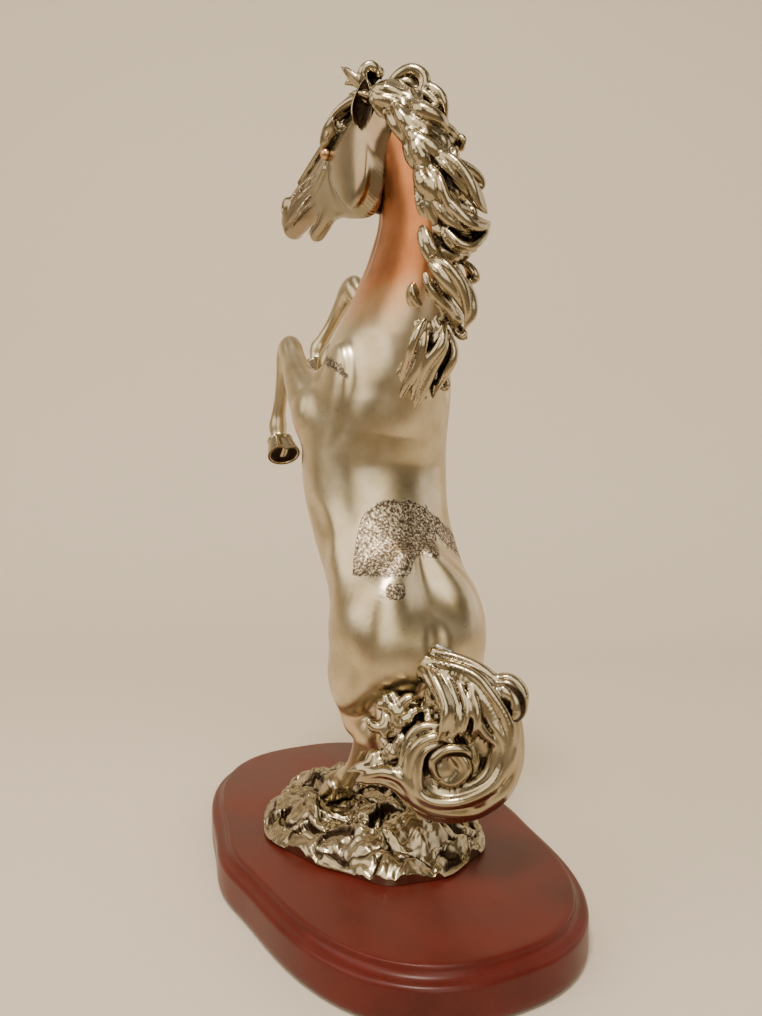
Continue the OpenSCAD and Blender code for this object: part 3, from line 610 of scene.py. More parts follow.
def tail_clay(step):
    """The tail: it falls from the dock, winds round the middle of a shell-like spiral, and sweeps along its
    foot to the left fetlock as a thin lip. Straight strands fall inside it and small curls fill the space
    behind."""
    clay = Clay([30, -60, 44], [112, 46, 146], step)
    rng = np.random.default_rng(11)
    for path, offset, width, strands, flat, thick in (
            (SWIRL, 0.0, 7.4, 4, 0.8, 0.35), (SWIRL, 5.5, 6.0, 2, 0.8, 0.4),
            (SWIRL, -5.0, 5.6, 3, 0.8, 0.4),
            (SWEEP, 0.0, 7.2, 4, 0.8, 0.7), (SWEEP, 4.2, 5.0, 1, 0.8, 0.75),
            (SWEEP, -4.4, 5.4, 2, 0.8, 0.75)):
        rows = np.array(path, float)
        flow = unit(np.gradient(rows[:, :2], axis=0))
        outward = np.stack([flow[:, 1], -flow[:, 0]], 1) * -offset
        rows[:, :2] += outward * np.linspace(0.6, 1, len(rows))[:, None]
        rows += rng.normal(0, 1.0, rows.shape)
        rows[:, 2] += abs(offset) * 0.6
        lock(clay, from_view(TAIL_AT, rows), width, strands, rng, rng.uniform(1, 3), 1.3, thick=thick,
             flat=flat, root=0.3)
    for i in range(7):  # strands that fall from the dock inside the spiral
        x, deep = -4 + 2.6 * i, rng.uniform(-3.5, 1.5)
        lock(clay, from_view(TAIL_AT, [[-10, 44, 22], [x - 3, 43, 2], [4 + x, 31, -8 + deep],
                                       [4 + x, 20, -10 + deep], [x + 1, 8 + rng.uniform(-3, 5), -8]]),
             rng.uniform(3.0, 5.5), 2, rng, 2.5, 0.8, thick=0.5)
    for rows, width in (([[22, 36, -4], [29, 39, -6], [35, 35, -7], [35, 28, -7], [30, 28, -8]], 6.5),
                        ([[30, 20, -8], [34, 10, -9], [32, 0, -10], [26, -7, -11], [17, -12, -11]], 5.0),
                        ([[14, 40, -6], [16, 30, -10], [21, 20, -11], [27, 12, -11], [28, 2, -10]], 5.4)):
        lock(clay, from_view(TAIL_AT, rows), width, 2, rng, 2, 1.4)
    for centre, radii in (([4, 1, 1.5], [12, 21, 18]), ([16, 17, 1], [10, 14, 19]),
                          ([4, 30, 3], [9, 10, 13]), ([-6, 43, 9], [8, 8, 8]), ([-16, 4, 6], [8, 12, 11]),
                          ([-16, 18, 9], [7, 12, 12])):
        clay.lump(from_view(TAIL_AT, centre), radii, 3, along=AWAY, across=RIGHT)
    for i in range(40):
        x, y = rng.uniform(-30, 0), rng.uniform(-2, 32)
        turn, start, size = rng.choice([-1, 1]) * 4.4, rng.uniform(0, 6.28), rng.uniform(3.0, 6.5)
        f = np.linspace(0, 1, 8)
        r, a = size * (1 - 0.75 * f), start + turn * f
        depth = rng.uniform(-3, 3) + 1
        rows = np.column_stack([x + r * np.cos(a), y + r * np.sin(a), depth + 2.5 * f - 2])
        lock(clay, from_view(TAIL_AT, rows), rng.uniform(2.2, 3.4), 1, rng, thick=0.5)
    return clay


def curl_locks():
    """Two loose curls: a knob on the tail's outer bend and a ribbon that closes the spiral's middle."""
    rows = from_view(TAIL_AT, [[[25, 39, -5], [31, 38, -6], [35, 33, -7], [35, 27, -7], [32, 24, -8],
                                [29, 26, -8]],
                               [[14, 4, -10], [9, 9, -11], [1, 9, -11], [-5, 4, -11], [-3, -4, -10],
                                [4, -6, -8]]])
    wide = np.stack([6.2 * taper(np.linspace(0, 1, 40), 0.55), 4.4 * taper(np.linspace(0, 1, 40), 0.3)])
    return tubes(rows, wide, wide * 0.8, AWAY, 40, 20, 3, 0.1, [3.0, 5.0], 0.0)


# ---- hooves, ears and eyes ----
HOOVES = {"left_fore_hoof": ([-64.5, -36, 246], [-56, -36, 236.5]),
          "right_fore_hoof": ([-84, -3.5, 299], [-78, -4, 289]),
          "left_hind_hoof": ([0, -21.5, 50], [-7, -21.5, 39.2]),
          "right_hind_hoof": ([8, 21.5, 50], [1, 21.5, 39.2])}


def hoof_surface(top, low):
    """A hoof: ring i of 14 rows goes from the coronet's roll down the wall, over the sole's edge and in to
    the sole's middle, which is dished; the back third is drawn in between the heels, and a ridge on the
    sole is the frog. a = 0 is at the toe."""
    top, low = np.array(top, float), np.array(low, float)
    down = unit(low - top)
    across = unit(np.array([0, 1.0, 0]) - down[1] * down)
    toe = np.cross(across, down)
    toe *= -np.sign(toe[0]) if abs(toe[0]) > 0.2 else -np.sign(toe[2])
    height = np.linalg.norm(low - top)
    #          along, radius
    rows = np.array([[-1.6, 4.6], [-0.6, 6.2], [0.5, 6.9], [1.3, 6.5], [2.2, 6.6], [height * 0.5, 7.5],
                     [height - 0.9, 8.6], [height - 0.2, 8.7], [height, 8.3], [height - 0.1, 7.4],
                     [height - 1.0, 6.8], [height - 1.3, 4.6], [height - 1.2, 2.4], [height - 1.1, 0.5]])
    rows = curve(rows, 40)
    a = np.linspace(0, 2 * math.pi, 48, endpoint=False)
    heel = smooth(2.3, 3.0, np.abs((a + math.pi) % (2 * math.pi) - math.pi))
    r = rows[:, 1, None] * (1.12 - 0.3 * heel - 0.06 * np.cos(2 * a))
    inner = np.arange(40)[:, None] > 28
    x, y = np.cos(a) * r, np.sin(a) * r
    frog = inner * 0.9 * np.exp(-(y / 1.4) ** 2) * (x < 2.5)
    lines = 0.09 * np.sin(rows[:, 0, None] * 5.5) * (np.arange(40)[:, None] < 22)
    z = rows[:, 0, None] + frog
    grow = 1 + lines / np.maximum(r, 1)
    p = top + (x * grow)[..., None] * toe + (y * grow)[..., None] * across + z[..., None] * down
    quads, tris = strand_grid(1, 40, 48)
    poles = np.stack([top - 1.8 * down, top + (height - 1.1 + 0.9) * down])
    return np.concatenate([p.reshape(-1, 3), poles]), [quads, tris], np.concatenate(
        [np.broadcast_to(inner * 0.9 * (1 - frog / 0.9), x.shape).ravel(), [0, 0]])


def ear_surface(s):
    """An ear: a leaf rolled into a cup. Along it (t) the half width is sin(pi (0.16 + 0.84 t)^0.85)^0.8,
    and the edges (e, -1 to 1) roll forwards by an angle in proportion to e; a second sheet behind it gives
    it thickness."""
    t = np.linspace(0, 1, 26)[:, None]
    e = np.linspace(-1, 1, 21)
    width = 5.4 * np.sin(math.pi * np.clip(0.16 + 0.84 * t, 0, 1) ** 0.85) ** 0.8 + 0.25
    roll = e * (2.0 - 0.8 * t)
    front = np.stack([np.sin(roll) * width * 0.85, (1 - np.cos(roll)) * width * 0.75, 21 * t + 0 * roll],
                     -1)
    thick = 0.9 * (1 - 0.5 * t) * np.ones_like(roll)
    normal = np.stack([np.sin(roll), -np.cos(roll), np.zeros_like(roll)], -1)
    rear = front + normal * thick[..., None]
    sheet = np.concatenate([front, rear[:, ::-1]], 1)
    quads, tris = strand_grid(1, 26, sheet.shape[1])
    p = np.concatenate([sheet.reshape(-1, 3), [sheet[0].mean(0)], [sheet[-1].mean(0)]])
    rise = unit(np.array([0.3, 0.09 * s, 1.0]))
    face = unit(np.array([0.8, 0.6 * s, 0.0]))
    side = unit(np.cross(face, rise))
    face = np.cross(rise, side)
    base = from_head([6.5, 8.6 * s, -7])
    drawn = base + p[:, :1] * side + p[:, 1:2] * face + p[:, 2:3] * rise
    inside = np.concatenate([np.concatenate([np.ones((26, 21)), np.zeros((26, 21))], 1).ravel(),
                             [0.5, 0.5]])
    return drawn, [quads, tris], inside


def ball(centre, radius, rings=24, sides=32):
    """A ball: ring i at the angle pi i / rings from its pole."""
    a = np.linspace(0.02, math.pi - 0.02, rings)[:, None]
    b = np.linspace(0, 2 * math.pi, sides, endpoint=False)
    p = np.stack([np.sin(a) * np.cos(b), np.sin(a) * np.sin(b), np.cos(a) + 0 * b], -1) * radius
    poles = [[0, 0, radius], [0, 0, -radius]]
    q, t = strand_grid(1, rings, sides)
    return np.concatenate([p.reshape(-1, 3), poles]) + centre, [q[:, ::-1], t[:, ::-1]]


# ---- ground and plinth ----
def ragged(a):
    """How far the ground reaches at angle a, as a share of its oval."""
    return 1 + 0.035 * np.sin(3 * a + 0.7) + 0.025 * np.sin(5 * a + 3.49) + 0.015 * np.sin(11 * a)


def slabs(p, seed, count, stretch, tilt):
    """Broken slate: each point belongs to its nearest seed, measured in a frame stretched by stretch, and
    takes that seed's tilted plane. Returns the planes' heights and how near a crack the point is, 0 to
    1."""
    rng = np.random.default_rng(seed)
    low, high = p.min(0), p.max(0)
    seeds = rng.uniform(low, high, (count, 2))
    slope = rng.normal(0, tilt, (count, 2))
    level = rng.uniform(-1, 1, count)
    turn = rng.normal(0, 0.4, count) + np.arctan2(seeds[:, 1], seeds[:, 0]) + math.pi / 2
    gap = p[:, None] - seeds
    u = (gap[..., 0] * np.cos(turn) + gap[..., 1] * np.sin(turn)) / stretch
    v = gap[..., 1] * np.cos(turn) - gap[..., 0] * np.sin(turn)
    far = np.hypot(u, v)
    order = np.argsort(far, 1)[:, :2]
    rows = np.arange(len(p))
    first, second = far[rows, order[:, 0]], far[rows, order[:, 1]]
    own = order[:, 0]
    plane = (gap[rows, own] * slope[own]).sum(1)
    return level[own], plane, smooth(2.2, 0.0, second - first)


def ground_surface():
    """The rocky ground: a dome over an oval, broken into tilted slabs of slate with cracks between them,
    with a crag under the tail. Height = rim + dome * (1 - f^3)^0.7 + slab, at angle a and share f, but no
    more than the lip's height + 30 (1 - f)^0.8."""
    rings, sides, wall = 190, 420, 14
    centre = (GROUND_LOW + GROUND_HIGH) / 2
    half = (GROUND_HIGH - GROUND_LOW) / 2
    f = np.concatenate([np.linspace(0.006, 1, rings - wall) ** 0.85, np.full(wall, 1.0)])[:, None]
    a = np.linspace(0, 2 * math.pi, sides, endpoint=False)
    tuck = np.concatenate([np.zeros(rings - wall), np.linspace(0, 1, wall)])[:, None]
    reach = ragged(a) / ragged(a).max() * f
    flat = np.stack([half[0] * reach * np.cos(a), half[1] * reach * np.sin(a), 0 * reach], -1)
    warp = np.stack([ripple(flat, 22, 30) * 5, ripple(flat, 22, 31) * 5, 0 * reach], -1)
    near = (flat + warp)[..., :2].reshape(-1, 2)
    level, plane, crack = (v.reshape(reach.shape) for v in slabs(near, 41, 62, 2.0, 0.16))
    level2, plane2, crack2 = (v.reshape(reach.shape) for v in slabs(near + 3, 42, 230, 2.4, 0.22))
    x, y = centre[0] + flat[..., 0], centre[1] + flat[..., 1]
    blend = smooth(1.0, 0.95, f)
    dome = 5.6 + 8.2 * (1 - np.clip(f, 0, 1) ** 3) ** 0.7
    px, py = x - centre[0] - 58, y - centre[1] - 6
    crag = 17 * np.exp(-(px / 15) ** 2 - (py / 24) ** 2)
    rough = 1.7 * level + plane * 0.9 + 0.6 * level2 + plane2 * 0.6 + ripple(flat, 30, 21) * 1.8
    flow = ripple(flat + warp, 7, 23) * 0.7 + ripple(flat + 0.5 * warp, 3, 24) * 0.3
    deep = np.clip(crack * 0.9 + crack2 * 0.5 * (ripple(flat, 18, 29) > -0.2), 0, 1)
    rough = rough * (1 + crag * 0.03) - 1.5 * crack - 0.6 * crack2
    for _ in range(3):  # weathers the slabs' edges
        rough = (np.roll(rough, 1, 1) + np.roll(rough, -1, 1) + np.roll(rough, 1, 0)
                 + np.roll(rough, -1, 0)
                 + 2 * rough) / 6
    h = dome + (rough + flow) * blend + crag * (0.5 + 0.5 * blend)
    lip = 3.2 + 0.9 * np.sin(5 * a + 2) + 0.8 * np.sin(13 * a + 3 * np.sin(2 * a))
    lip = lip + ripple(flat, 9, 27) * 0.5
    h = np.minimum(h, lip + 30 * np.clip(1.0 - f, 0, 1) ** 0.8 + 0.7 * (rough + flow))
    h = np.maximum(h, 1.6)
    z = BOARD_HIGH[2] + h * (1 - tuck ** 1.6)
    shrink = 1 - 0.014 * (1 - np.cos(tuck * math.pi / 2))
    p = np.stack([centre[0] + flat[..., 0] * shrink, centre[1] + flat[..., 1] * shrink, z], -1)
    quads, tris = strand_grid(1, rings, sides)
    poles = [p[0].mean(0), [centre[0], centre[1], BOARD_HIGH[2]]]
    groove = 0.45 + 0.5 * deep * blend + 0.15 * np.clip(-flow, 0, 1)
    return (np.concatenate([p.reshape(-1, 3), poles]), [quads, tris],
            np.concatenate([np.broadcast_to(groove, reach.shape).ravel(), [0.5, 0.5]]))


def plinth_surface():
    """The board: its outline is a full oval, x = L/2 cos^(1/1.3), y = W/2 sin^(1/1.3), whose long sides
    swell in the middle; each row of the moulding is that outline moved outwards by the row's reach, at its
    height."""
    reach = 7.0
    length = BOARD_HIGH[0] - BOARD_LOW[0] - 2 * reach
    swell = 5.0
    width = BOARD_HIGH[1] - BOARD_LOW[1] - 2 * reach - 2 * swell
    low, high = BOARD_LOW[2], BOARD_HIGH[2]

    def outline(a):
        c, s = np.cos(a), np.sin(a)
        x = length / 2 * np.sign(c) * np.abs(c) ** (2 / 2.6)
        y = width / 2 * np.sign(s) * np.abs(s) ** (2 / 2.6)
        y = y + swell * np.sign(s) * np.exp(-(x / (length * 0.1)) ** 2) * np.minimum(1, np.abs(s) * 3)
        return np.stack([x, y], -1)

    a = (np.arange(480) + 0.5) * 2 * math.pi / 480
    d = outline(a + 0.004) - outline(a - 0.004)
    out = unit(np.stack([d[:, 1], -d[:, 0]], -1))
    lip = high - 5.0
    q = np.linspace(0, math.pi / 2, 9)
    rows = [[-8, low], [-2, low], [reach - 1.8, low], [reach - 0.6, low + 0.4], [reach - 0.05, low + 1.5],
            [reach, low + 4], [reach, lip - 4]]
    rows += [[reach - 2.5 + 2.5 * math.cos(b), lip - 2.5 + 2.5 * math.sin(b)] for b in q]
    rows += [[(reach - 3.1) * (1 - math.sin(b)) + 0.6, lip + 3.6 * (1 - math.cos(b))] for b in q[1:]]
    rows += [[0.45, high - 0.7], [0.1, high - 0.15], [-0.7, high]]
    rows = np.array(rows)
    p = outline(a)[None] + out[None] * rows[:, 0, None, None]
    rim = np.concatenate([p, np.broadcast_to(rows[:, 1, None, None], p.shape[:2] + (1,))], -1)
    shares = np.linspace(0.985, 0.02, 26)[:, None, None]
    top = np.concatenate([rim[-1:, :, :2] * shares, np.full((26, 480, 1), high)], -1)
    foot = np.concatenate([rim[:1, :, :2] * shares[::-1], np.full((26, 480, 1), low)], -1)
    grid = np.concatenate([foot, rim, top])
    quads, tris = strand_grid(1, len(grid), 480)
    return np.concatenate([grid.reshape(-1, 3), [[0, 0, low], [0, 0, high]]]), [quads, tris]


# ---- hollows ----
def fill_hollows(pieces, step=1.5):
    """Marks how enclosed each point is, in an attribute called hollow. The pieces are stamped into a grid
    as inside or outside, that grid is blurred over about 5 mm, and each point reads it 2 mm above its
    surface."""
    low = np.array([-110.0, -70, 18])
    shape = np.array([150, 96, 284])
    solid = np.zeros(shape, np.float32)
    for piece in pieces:
        mesh = piece.data
        mesh.calc_loop_triangles()
        p = np.empty(len(mesh.vertices) * 3, np.float32)
        mesh.vertices.foreach_get("co", p)
        t = np.empty(len(mesh.loop_triangles) * 3, np.int32)
        mesh.loop_triangles.foreach_get("vertices", t)
        index = (p.reshape(-1, 3) / MM - low) / step
        grid = openvdb.FloatGrid.createLevelSetFromPolygons(
            index.astype(np.float32), triangles=t.reshape(-1, 3).astype(np.uint32), halfWidth=3.0)
        block = np.empty(shape, np.float32)
        grid.copyToArray(block)
        solid = np.maximum(solid, np.clip(0.5 - block, 0, 1))
    for axis in range(3):
        for _ in range(3):
            total = solid.copy()
            for shift in (-1, 1):
                total += np.roll(solid, shift, axis)
            solid = total / 3
    for piece in pieces:
        mesh = piece.data
        count = len(mesh.vertices)
        p = np.empty(count * 3, np.float32)
        n = np.empty(count * 3, np.float32)
        mesh.vertices.foreach_get("co", p)
        mesh.vertices.foreach_get("normal", n)
        place = (p.reshape(-1, 3) / MM + n.reshape(-1, 3) * 2.0 - low) / step
        cell = np.clip(np.round(place).astype(int), 0, shape - 1)
        enclosed = smooth(0.22, 0.62, solid[tuple(cell.T)])
        marks = mesh.attributes.new("hollow", "FLOAT", "POINT")
        marks.data.foreach_set("value", enclosed.astype(np.float32))


# ---- materials ----
def linear(code):
    """An sRGB hex colour as linear RGBA."""
    rgb = [int(code[i:i + 2], 16) / 255 for i in (1, 3, 5)]
    return [c / 12.92 if c <= 0.04045 else ((c + 0.055) / 1.055) ** 2.4 for c in rgb] + [1.0]


def add(tree, kind, settings=None, **inputs):
    """Adds a node, sets its settings, and sets or links its inputs, by name or as i0, i1 by number."""
    made = tree.nodes.new(kind)
    for key, value in (settings or {}).items():
        setattr(made, key, value)
    for key, value in inputs.items():
        numbered = key[0] == "i" and key[1:].isdigit()
        socket = made.inputs[int(key[1:]) if numbered else key.replace("_", " ")]
        if isinstance(value, bpy.types.NodeSocket):
            tree.links.new(value, socket)
        else:
            socket.default_value = value
    return made


def ramp(tree, fac, stops, mode="LINEAR"):
    """A colour ramp through (place, colour) stops."""
    made = add(tree, "ShaderNodeValToRGB", Fac=fac)
    made.color_ramp.interpolation = mode
    elements = made.color_ramp.elements
    while len(elements) < len(stops):
        elements.new(0.5)
    for element, (place, colour) in zip(elements, stops):
        element.position = place
        element.color = colour if len(colour) == 4 else (*colour, 1)
    return made.outputs["Color"]


def new_material(name):
    material = bpy.data.materials.new(name)
    material.use_nodes = True
    material.node_tree.nodes.clear()
    return material, material.node_tree


def silver_plate(name, look, antique, polish, shade):
    """Silver plated bronze, electroplated and buffed. A warm mirror with slow waves from hand chasing; it
    flushes to copper where buffing has thinned it, and hollows keep black antiquing that the buff missed.
    antique says where the black starts, where it is full and how much grooves count; polish is the least
    roughness; shade is how much of the plate's brightness the finish keeps, and on the face a low shade is
    a painted dark reflection. The flush mask also carries a painted copper-brown reflection on the head's
    cheek."""
    material, tree = new_material(name)
    place = add(tree, "ShaderNodeTexCoord").outputs["Object"]

    def noise(size_mm, detail=2.0, rough=0.5):
        return add(tree, "ShaderNodeTexNoise", Vector=place, Scale=1 / (size_mm * MM), Detail=detail,
                   Roughness=rough).outputs["Fac"]

    def mask(key):
        return add(tree, "ShaderNodeAttribute", {"attribute_name": key}).outputs["Fac"]

    def math_node(operation, a, b, clamp=False):
        return add(tree, "ShaderNodeMath", {"operation": operation, "use_clamp": clamp}, i0=a,
                   i1=b).outputs[0]

    def mix(fac, a, b):
        return add(tree, "ShaderNodeMix", {"data_type": "RGBA"}, i0=fac, i6=a, i7=b).outputs[2]

    cloud = noise(14, 3)
    grit = noise(1.4, 4, 0.7)
    blotch = noise(4.5, 4, 0.6)
    bright = [c * shade for c in look.silver[:3]]
    flushed = [[c * shade for c in linear(code)[:3]] for code in ("#DDB890", "#96583A")]
    silver = ramp(tree, cloud, [(0.3, [c * shade for c in look.silver_deep[:3]]), (0.7, bright)])
    flush = math_node("ADD", mask("flush"),
                      math_node("MULTIPLY", math_node("SUBTRACT", cloud, 0.5), 0.35), True)
    copper = ramp(tree, flush, [(0.1, bright), (0.4, flushed[0]),
                                (0.75, [c * shade for c in look.copper[:3]]),
                                (1.0, flushed[1])])
    flushing = add(tree, "ShaderNodeMapRange", {"clamp": True}, Value=flush, i1=0.04, i2=0.2).outputs[0]
    tone = mix(flushing, silver, copper)
    ragged_edge = math_node("ADD", math_node("MULTIPLY", math_node("SUBTRACT", blotch, 0.5), 0.8),
                            math_node("MULTIPLY", math_node("SUBTRACT", grit, 0.5), 0.9))
    worn = math_node("MULTIPLY", ragged_edge, math_node("MULTIPLY", mask("tarnish"), 5.0, True))
    worn = math_node("ADD", mask("tarnish"), worn)
    rim = add(tree, "ShaderNodeMapRange", {"clamp": True}, Value=worn, i1=0.75, i2=0.5, i4=0.7).outputs[0]
    worn = add(tree, "ShaderNodeMapRange", {"clamp": True}, Value=worn, i1=0.4, i2=0.46).outputs[0]
    grains = ramp(tree, grit, [(0.38, linear("#40362C")), (0.48, tuple(look.tarnish)),
                               (0.55, linear("#A39580")),
                               (0.62, linear("#E6DBC6"))])
    grains = mix(rim, grains, linear("#3A3028"))
    tone = mix(worn, tone, grains)
    specks = add(tree, "ShaderNodeTexVoronoi", {"feature": "F1"}, Vector=place, Scale=1 / (7 * MM),
                 Randomness=1.0)
    size = math_node("MULTIPLY", blotch, 0.09)
    speck = math_node("LESS_THAN", specks.outputs["Distance"], size)
    chosen = math_node("GREATER_THAN", specks.outputs["Color"], 0.62)
    tone = mix(math_node("MULTIPLY", math_node("MULTIPLY", speck, chosen), 0.75), tone, linear("#3A3028"))
    fine = add(tree, "ShaderNodeMapRange", {"clamp": True}, Value=mask("groove"), i1=0.5, i2=1.0,
               i4=antique[2]).outputs[0]
    deep = math_node("ADD", math_node("ADD", mask("hollow"), fine),
                     math_node("MULTIPLY", math_node("SUBTRACT", blotch, 0.5), 0.4))
    deep = add(tree, "ShaderNodeMapRange", {"clamp": True, "interpolation_type": "SMOOTHSTEP"},
               Value=deep,
               i1=antique[0], i2=antique[1]).outputs[0]
    tone = mix(deep, tone, ramp(tree, grit, [(0.3, tuple(look.antique)), (0.7, linear("#4A3A2C"))]))
    rough = math_node("ADD", math_node("MULTIPLY", noise(9, 3), 0.14), polish - 0.07)
    rough = math_node("ADD", rough, math_node("MULTIPLY", worn, 0.12))
    rough = math_node("ADD", rough, math_node("MULTIPLY", deep, 0.25), True)
    height = math_node("ADD", noise(11, 2), math_node("MULTIPLY", math_node("MULTIPLY", grit, worn), 2.5))
    bump = add(tree, "ShaderNodeBump", Strength=0.16, Distance=0.6 * MM, Height=height).outputs[0]
    shader = add(tree, "ShaderNodeBsdfPrincipled", Base_Color=tone, Roughness=rough, Normal=bump,
                 Metallic=1.0)
    add(tree, "ShaderNodeOutputMaterial", Surface=shader.outputs[0])
    return material


def lacquered_wood(look):
    """Mahogany-stained beech under brushed lacquer: an even red-brown with faint long grain, a soft gloss,
    and dust and hair scratches on its flat top."""
    material, tree = new_material("mahogany_stained_lacquered_board")
    place = add(tree, "ShaderNodeTexCoord").outputs["Object"]
    along = add(tree, "ShaderNodeMapping", Vector=place, Scale=(0.12, 1.0, 1.0)).outputs[0]
    grain = add(tree, "ShaderNodeTexNoise", Vector=along, Scale=1 / (2.2 * MM), Detail=4.0,
                Roughness=0.6).outputs["Fac"]
    cloud = add(tree, "ShaderNodeTexNoise", Vector=place, Scale=1 / (38 * MM), Detail=2.0).outputs["Fac"]
    dust = add(tree, "ShaderNodeTexNoise", Vector=place, Scale=1 / (1.3 * MM), Detail=5.0,
               Roughness=0.8).outputs["Fac"]
    both = add(tree, "ShaderNodeMath", {"operation": "MULTIPLY_ADD"}, i0=grain, i1=0.35,
               i2=cloud).outputs[0]
    tone = ramp(tree, both, [(0.45, tuple(look.wood_deep)), (0.85, tuple(look.wood))])
    dusty = add(tree, "ShaderNodeMapRange", {"clamp": True}, Value=dust, i1=0.68, i2=0.8,
                i4=0.2).outputs[0]
    tone = add(tree, "ShaderNodeMix", {"data_type": "RGBA"}, i0=dusty, i6=tone,
               i7=linear("#A98F80")).outputs[2]
    rough = add(tree, "ShaderNodeMapRange", Value=cloud, i1=0.3, i2=0.7, i3=0.3, i4=0.42).outputs[0]
    bump = add(tree, "ShaderNodeBump", Strength=0.12, Distance=0.15 * MM, Height=grain).outputs[0]
    shader = add(tree, "ShaderNodeBsdfPrincipled", Base_Color=tone, Roughness=rough, Normal=bump,
                 Coat_Weight=0.1,
                 Coat_Roughness=0.25, Specular_IOR_Level=0.25)
    add(tree, "ShaderNodeOutputMaterial", Surface=shader.outputs[0])
    return material


def wool_felt():
    """Pressed wool felt: matt, with a fibrous mottle."""
    material, tree = new_material("pressed_wool_felt")
    place = add(tree, "ShaderNodeTexCoord").outputs["Object"]
    fibre = add(tree, "ShaderNodeTexNoise", Vector=place, Scale=1 / (0.8 * MM), Detail=6.0,
                Roughness=0.75).outputs["Fac"]
    tone = ramp(tree, fibre, [(0.35, linear("#231812")), (0.7, linear("#4A382B"))])
    bump = add(tree, "ShaderNodeBump", Strength=0.6, Distance=0.3 * MM, Height=fibre).outputs[0]
    shader = add(tree, "ShaderNodeBsdfPrincipled", Base_Color=tone, Roughness=0.95, Normal=bump,
                 Sheen_Weight=0.3)
    add(tree, "ShaderNodeOutputMaterial", Surface=shader.outputs[0])
    return material


def zinc_steel():
    """Bright zinc plated steel: a bluish grey metal with a fine crystal mottle."""
    material, tree = new_material("bright_zinc_plated_steel")
    place = add(tree, "ShaderNodeTexCoord").outputs["Object"]
    mottle = add(tree, "ShaderNodeTexNoise", Vector=place, Scale=1 / (1.2 * MM),
                 Detail=3.0).outputs["Fac"]
    tone = ramp(tree, mottle, [(0.3, linear("#8E9296")), (0.7, linear("#B7BABD"))])
    rough = add(tree, "ShaderNodeMapRange", Value=mottle, i3=0.25, i4=0.45).outputs[0]
    shader = add(tree, "ShaderNodeBsdfPrincipled", Base_Color=tone, Roughness=rough, Metallic=1.0)
    add(tree, "ShaderNodeOutputMaterial", Surface=shader.outputs[0])
    return material


def painted_wall(name, code, falloff_shade_code):
    """Matt emulsion on plaster, for the stage: pale behind the statue, and darker towards the main view, a
    painted shade of light falling off.
    """
    material, tree = new_material(name)
    place = add(tree, "ShaderNodeTexCoord").outputs["Object"]
    plaster = add(tree, "ShaderNodeTexNoise", Vector=place, Scale=1 / (6 * MM), Detail=4.0).outputs["Fac"]
    bump = add(tree, "ShaderNodeBump", Strength=0.3, Distance=0.8 * MM, Height=plaster).outputs[0]
    away = add(tree, "ShaderNodeVectorMath", {"operation": "DOT_PRODUCT"}, i0=place,
               i1=tuple(AWAY)).outputs["Value"]
    # painted shade: the floor darkens towards the main view, a light falloff painted into its colour
    near = add(tree, "ShaderNodeMapRange", {"clamp": True, "interpolation_type": "SMOOTHSTEP"},
               Value=away,
               i1=-0.36, i2=-0.14).outputs[0]
    tone = add(tree, "ShaderNodeMix", {"data_type": "RGBA"}, i0=near, i6=linear(falloff_shade_code),
               i7=linear(code)).outputs[2]
    shader = add(tree, "ShaderNodeBsdfPrincipled", Base_Color=tone, Roughness=0.9, Normal=bump)
    add(tree, "ShaderNodeOutputMaterial", Surface=shader.outputs[0])
    return material


MATERIALS = {}


def material(key):
    """The statue's finishes, each made once."""
    look = bpy.context.scene.statue_look
    makers = {
        "plate": lambda: silver_plate("buffed_silver_plate_on_bronze", look, (0.7, 1.2, 0.4), 0.3, 0.88),
        # the face: the same plate kept at half brightness, a painted dark reflection in the head's planes
        "face": lambda: silver_plate("silver_plate_on_the_face_darkened_as_painted_reflection", look, (0.35, 0.95, 1.7), 0.24,
                                     0.5),
        "antiqued": lambda: silver_plate("antiqued_silver_plate_on_bronze", look, (0.33, 0.92, 1.4), 0.2,
                                         0.66),
        "ground": lambda: silver_plate("antiqued_silver_plate_on_cast_rock", look, (0.42, 1.1, 1.2),
                                       0.24, 0.58),
        "wood": lambda: lacquered_wood(look), "felt": wool_felt, "steel": zinc_steel,
    }
    if key not in MATERIALS:
        MATERIALS[key] = makers[key]()
    return MATERIALS[key]


# ---- properties ----
def colour_property(name, code, about):
    return FloatVectorProperty(name=name, description=about, subtype="COLOR", size=4, min=0, max=1,
                               default=linear(code))


class StatueSizes(PropertyGroup):
    """How finely the statue is modelled."""
    skin_step: FloatProperty(name="Skin grid",
                             description="Spacing of the body's modelling grid, in millimetres",
                             default=1.05, min=0.8, max=3.0)
    hair_step: FloatProperty(name="Hair grid",
                             description="Spacing of the hair's modelling grid, in millimetres",
                             default=0.75, min=0.5, max=2.0)
    head_step: FloatProperty(name="Head grid",
                             description="Spacing of the head's modelling grid, in millimetres",
                             default=0.5, min=0.35, max=2.0)


class StatueLook(PropertyGroup):
    """The statue's colours."""
    silver: colour_property("Silver", "#E0D3B6", "Buffed plate")
    silver_deep: colour_property("Silver, deeper", "#C8B794", "Plate in its duller clouds")
    copper: colour_property("Copper flush", "#CC8757", "Where the plate is thin")
    antique: colour_property("Antiquing", "#120E0A", "Black left in the hollows")
    tarnish: colour_property("Tarnish", "#6E6152", "Where the plate is lost")
    wood: colour_property("Wood", "#5A1A12", "Stained board")
    wood_deep: colour_property("Wood, deeper", "#44120D", "Stain in the grain")


# ---- operators ----
class StatueOperator:
    bl_options = {"REGISTER"}


class STATUE_OT_skin(StatueOperator, Operator):
    """Body, neck and legs as one plated skin"""
    bl_idname = "statue.skin"
    bl_label = "Skin"

    def execute(self, context):
        clay = body_clay(context.scene.statue_sizes.skin_step)
        p, quads, groove = clay.surface(5)
        piece = build("horse_skin", to_part(p), [quads], {"groove": groove, **skin_marks(p)})
        finish_piece(piece, material("plate"), [
            "torso_shell", "neck_shell", "left_foreleg", "right_foreleg", "left_hind_leg",
            "right_hind_leg"])
        return {"FINISHED"}


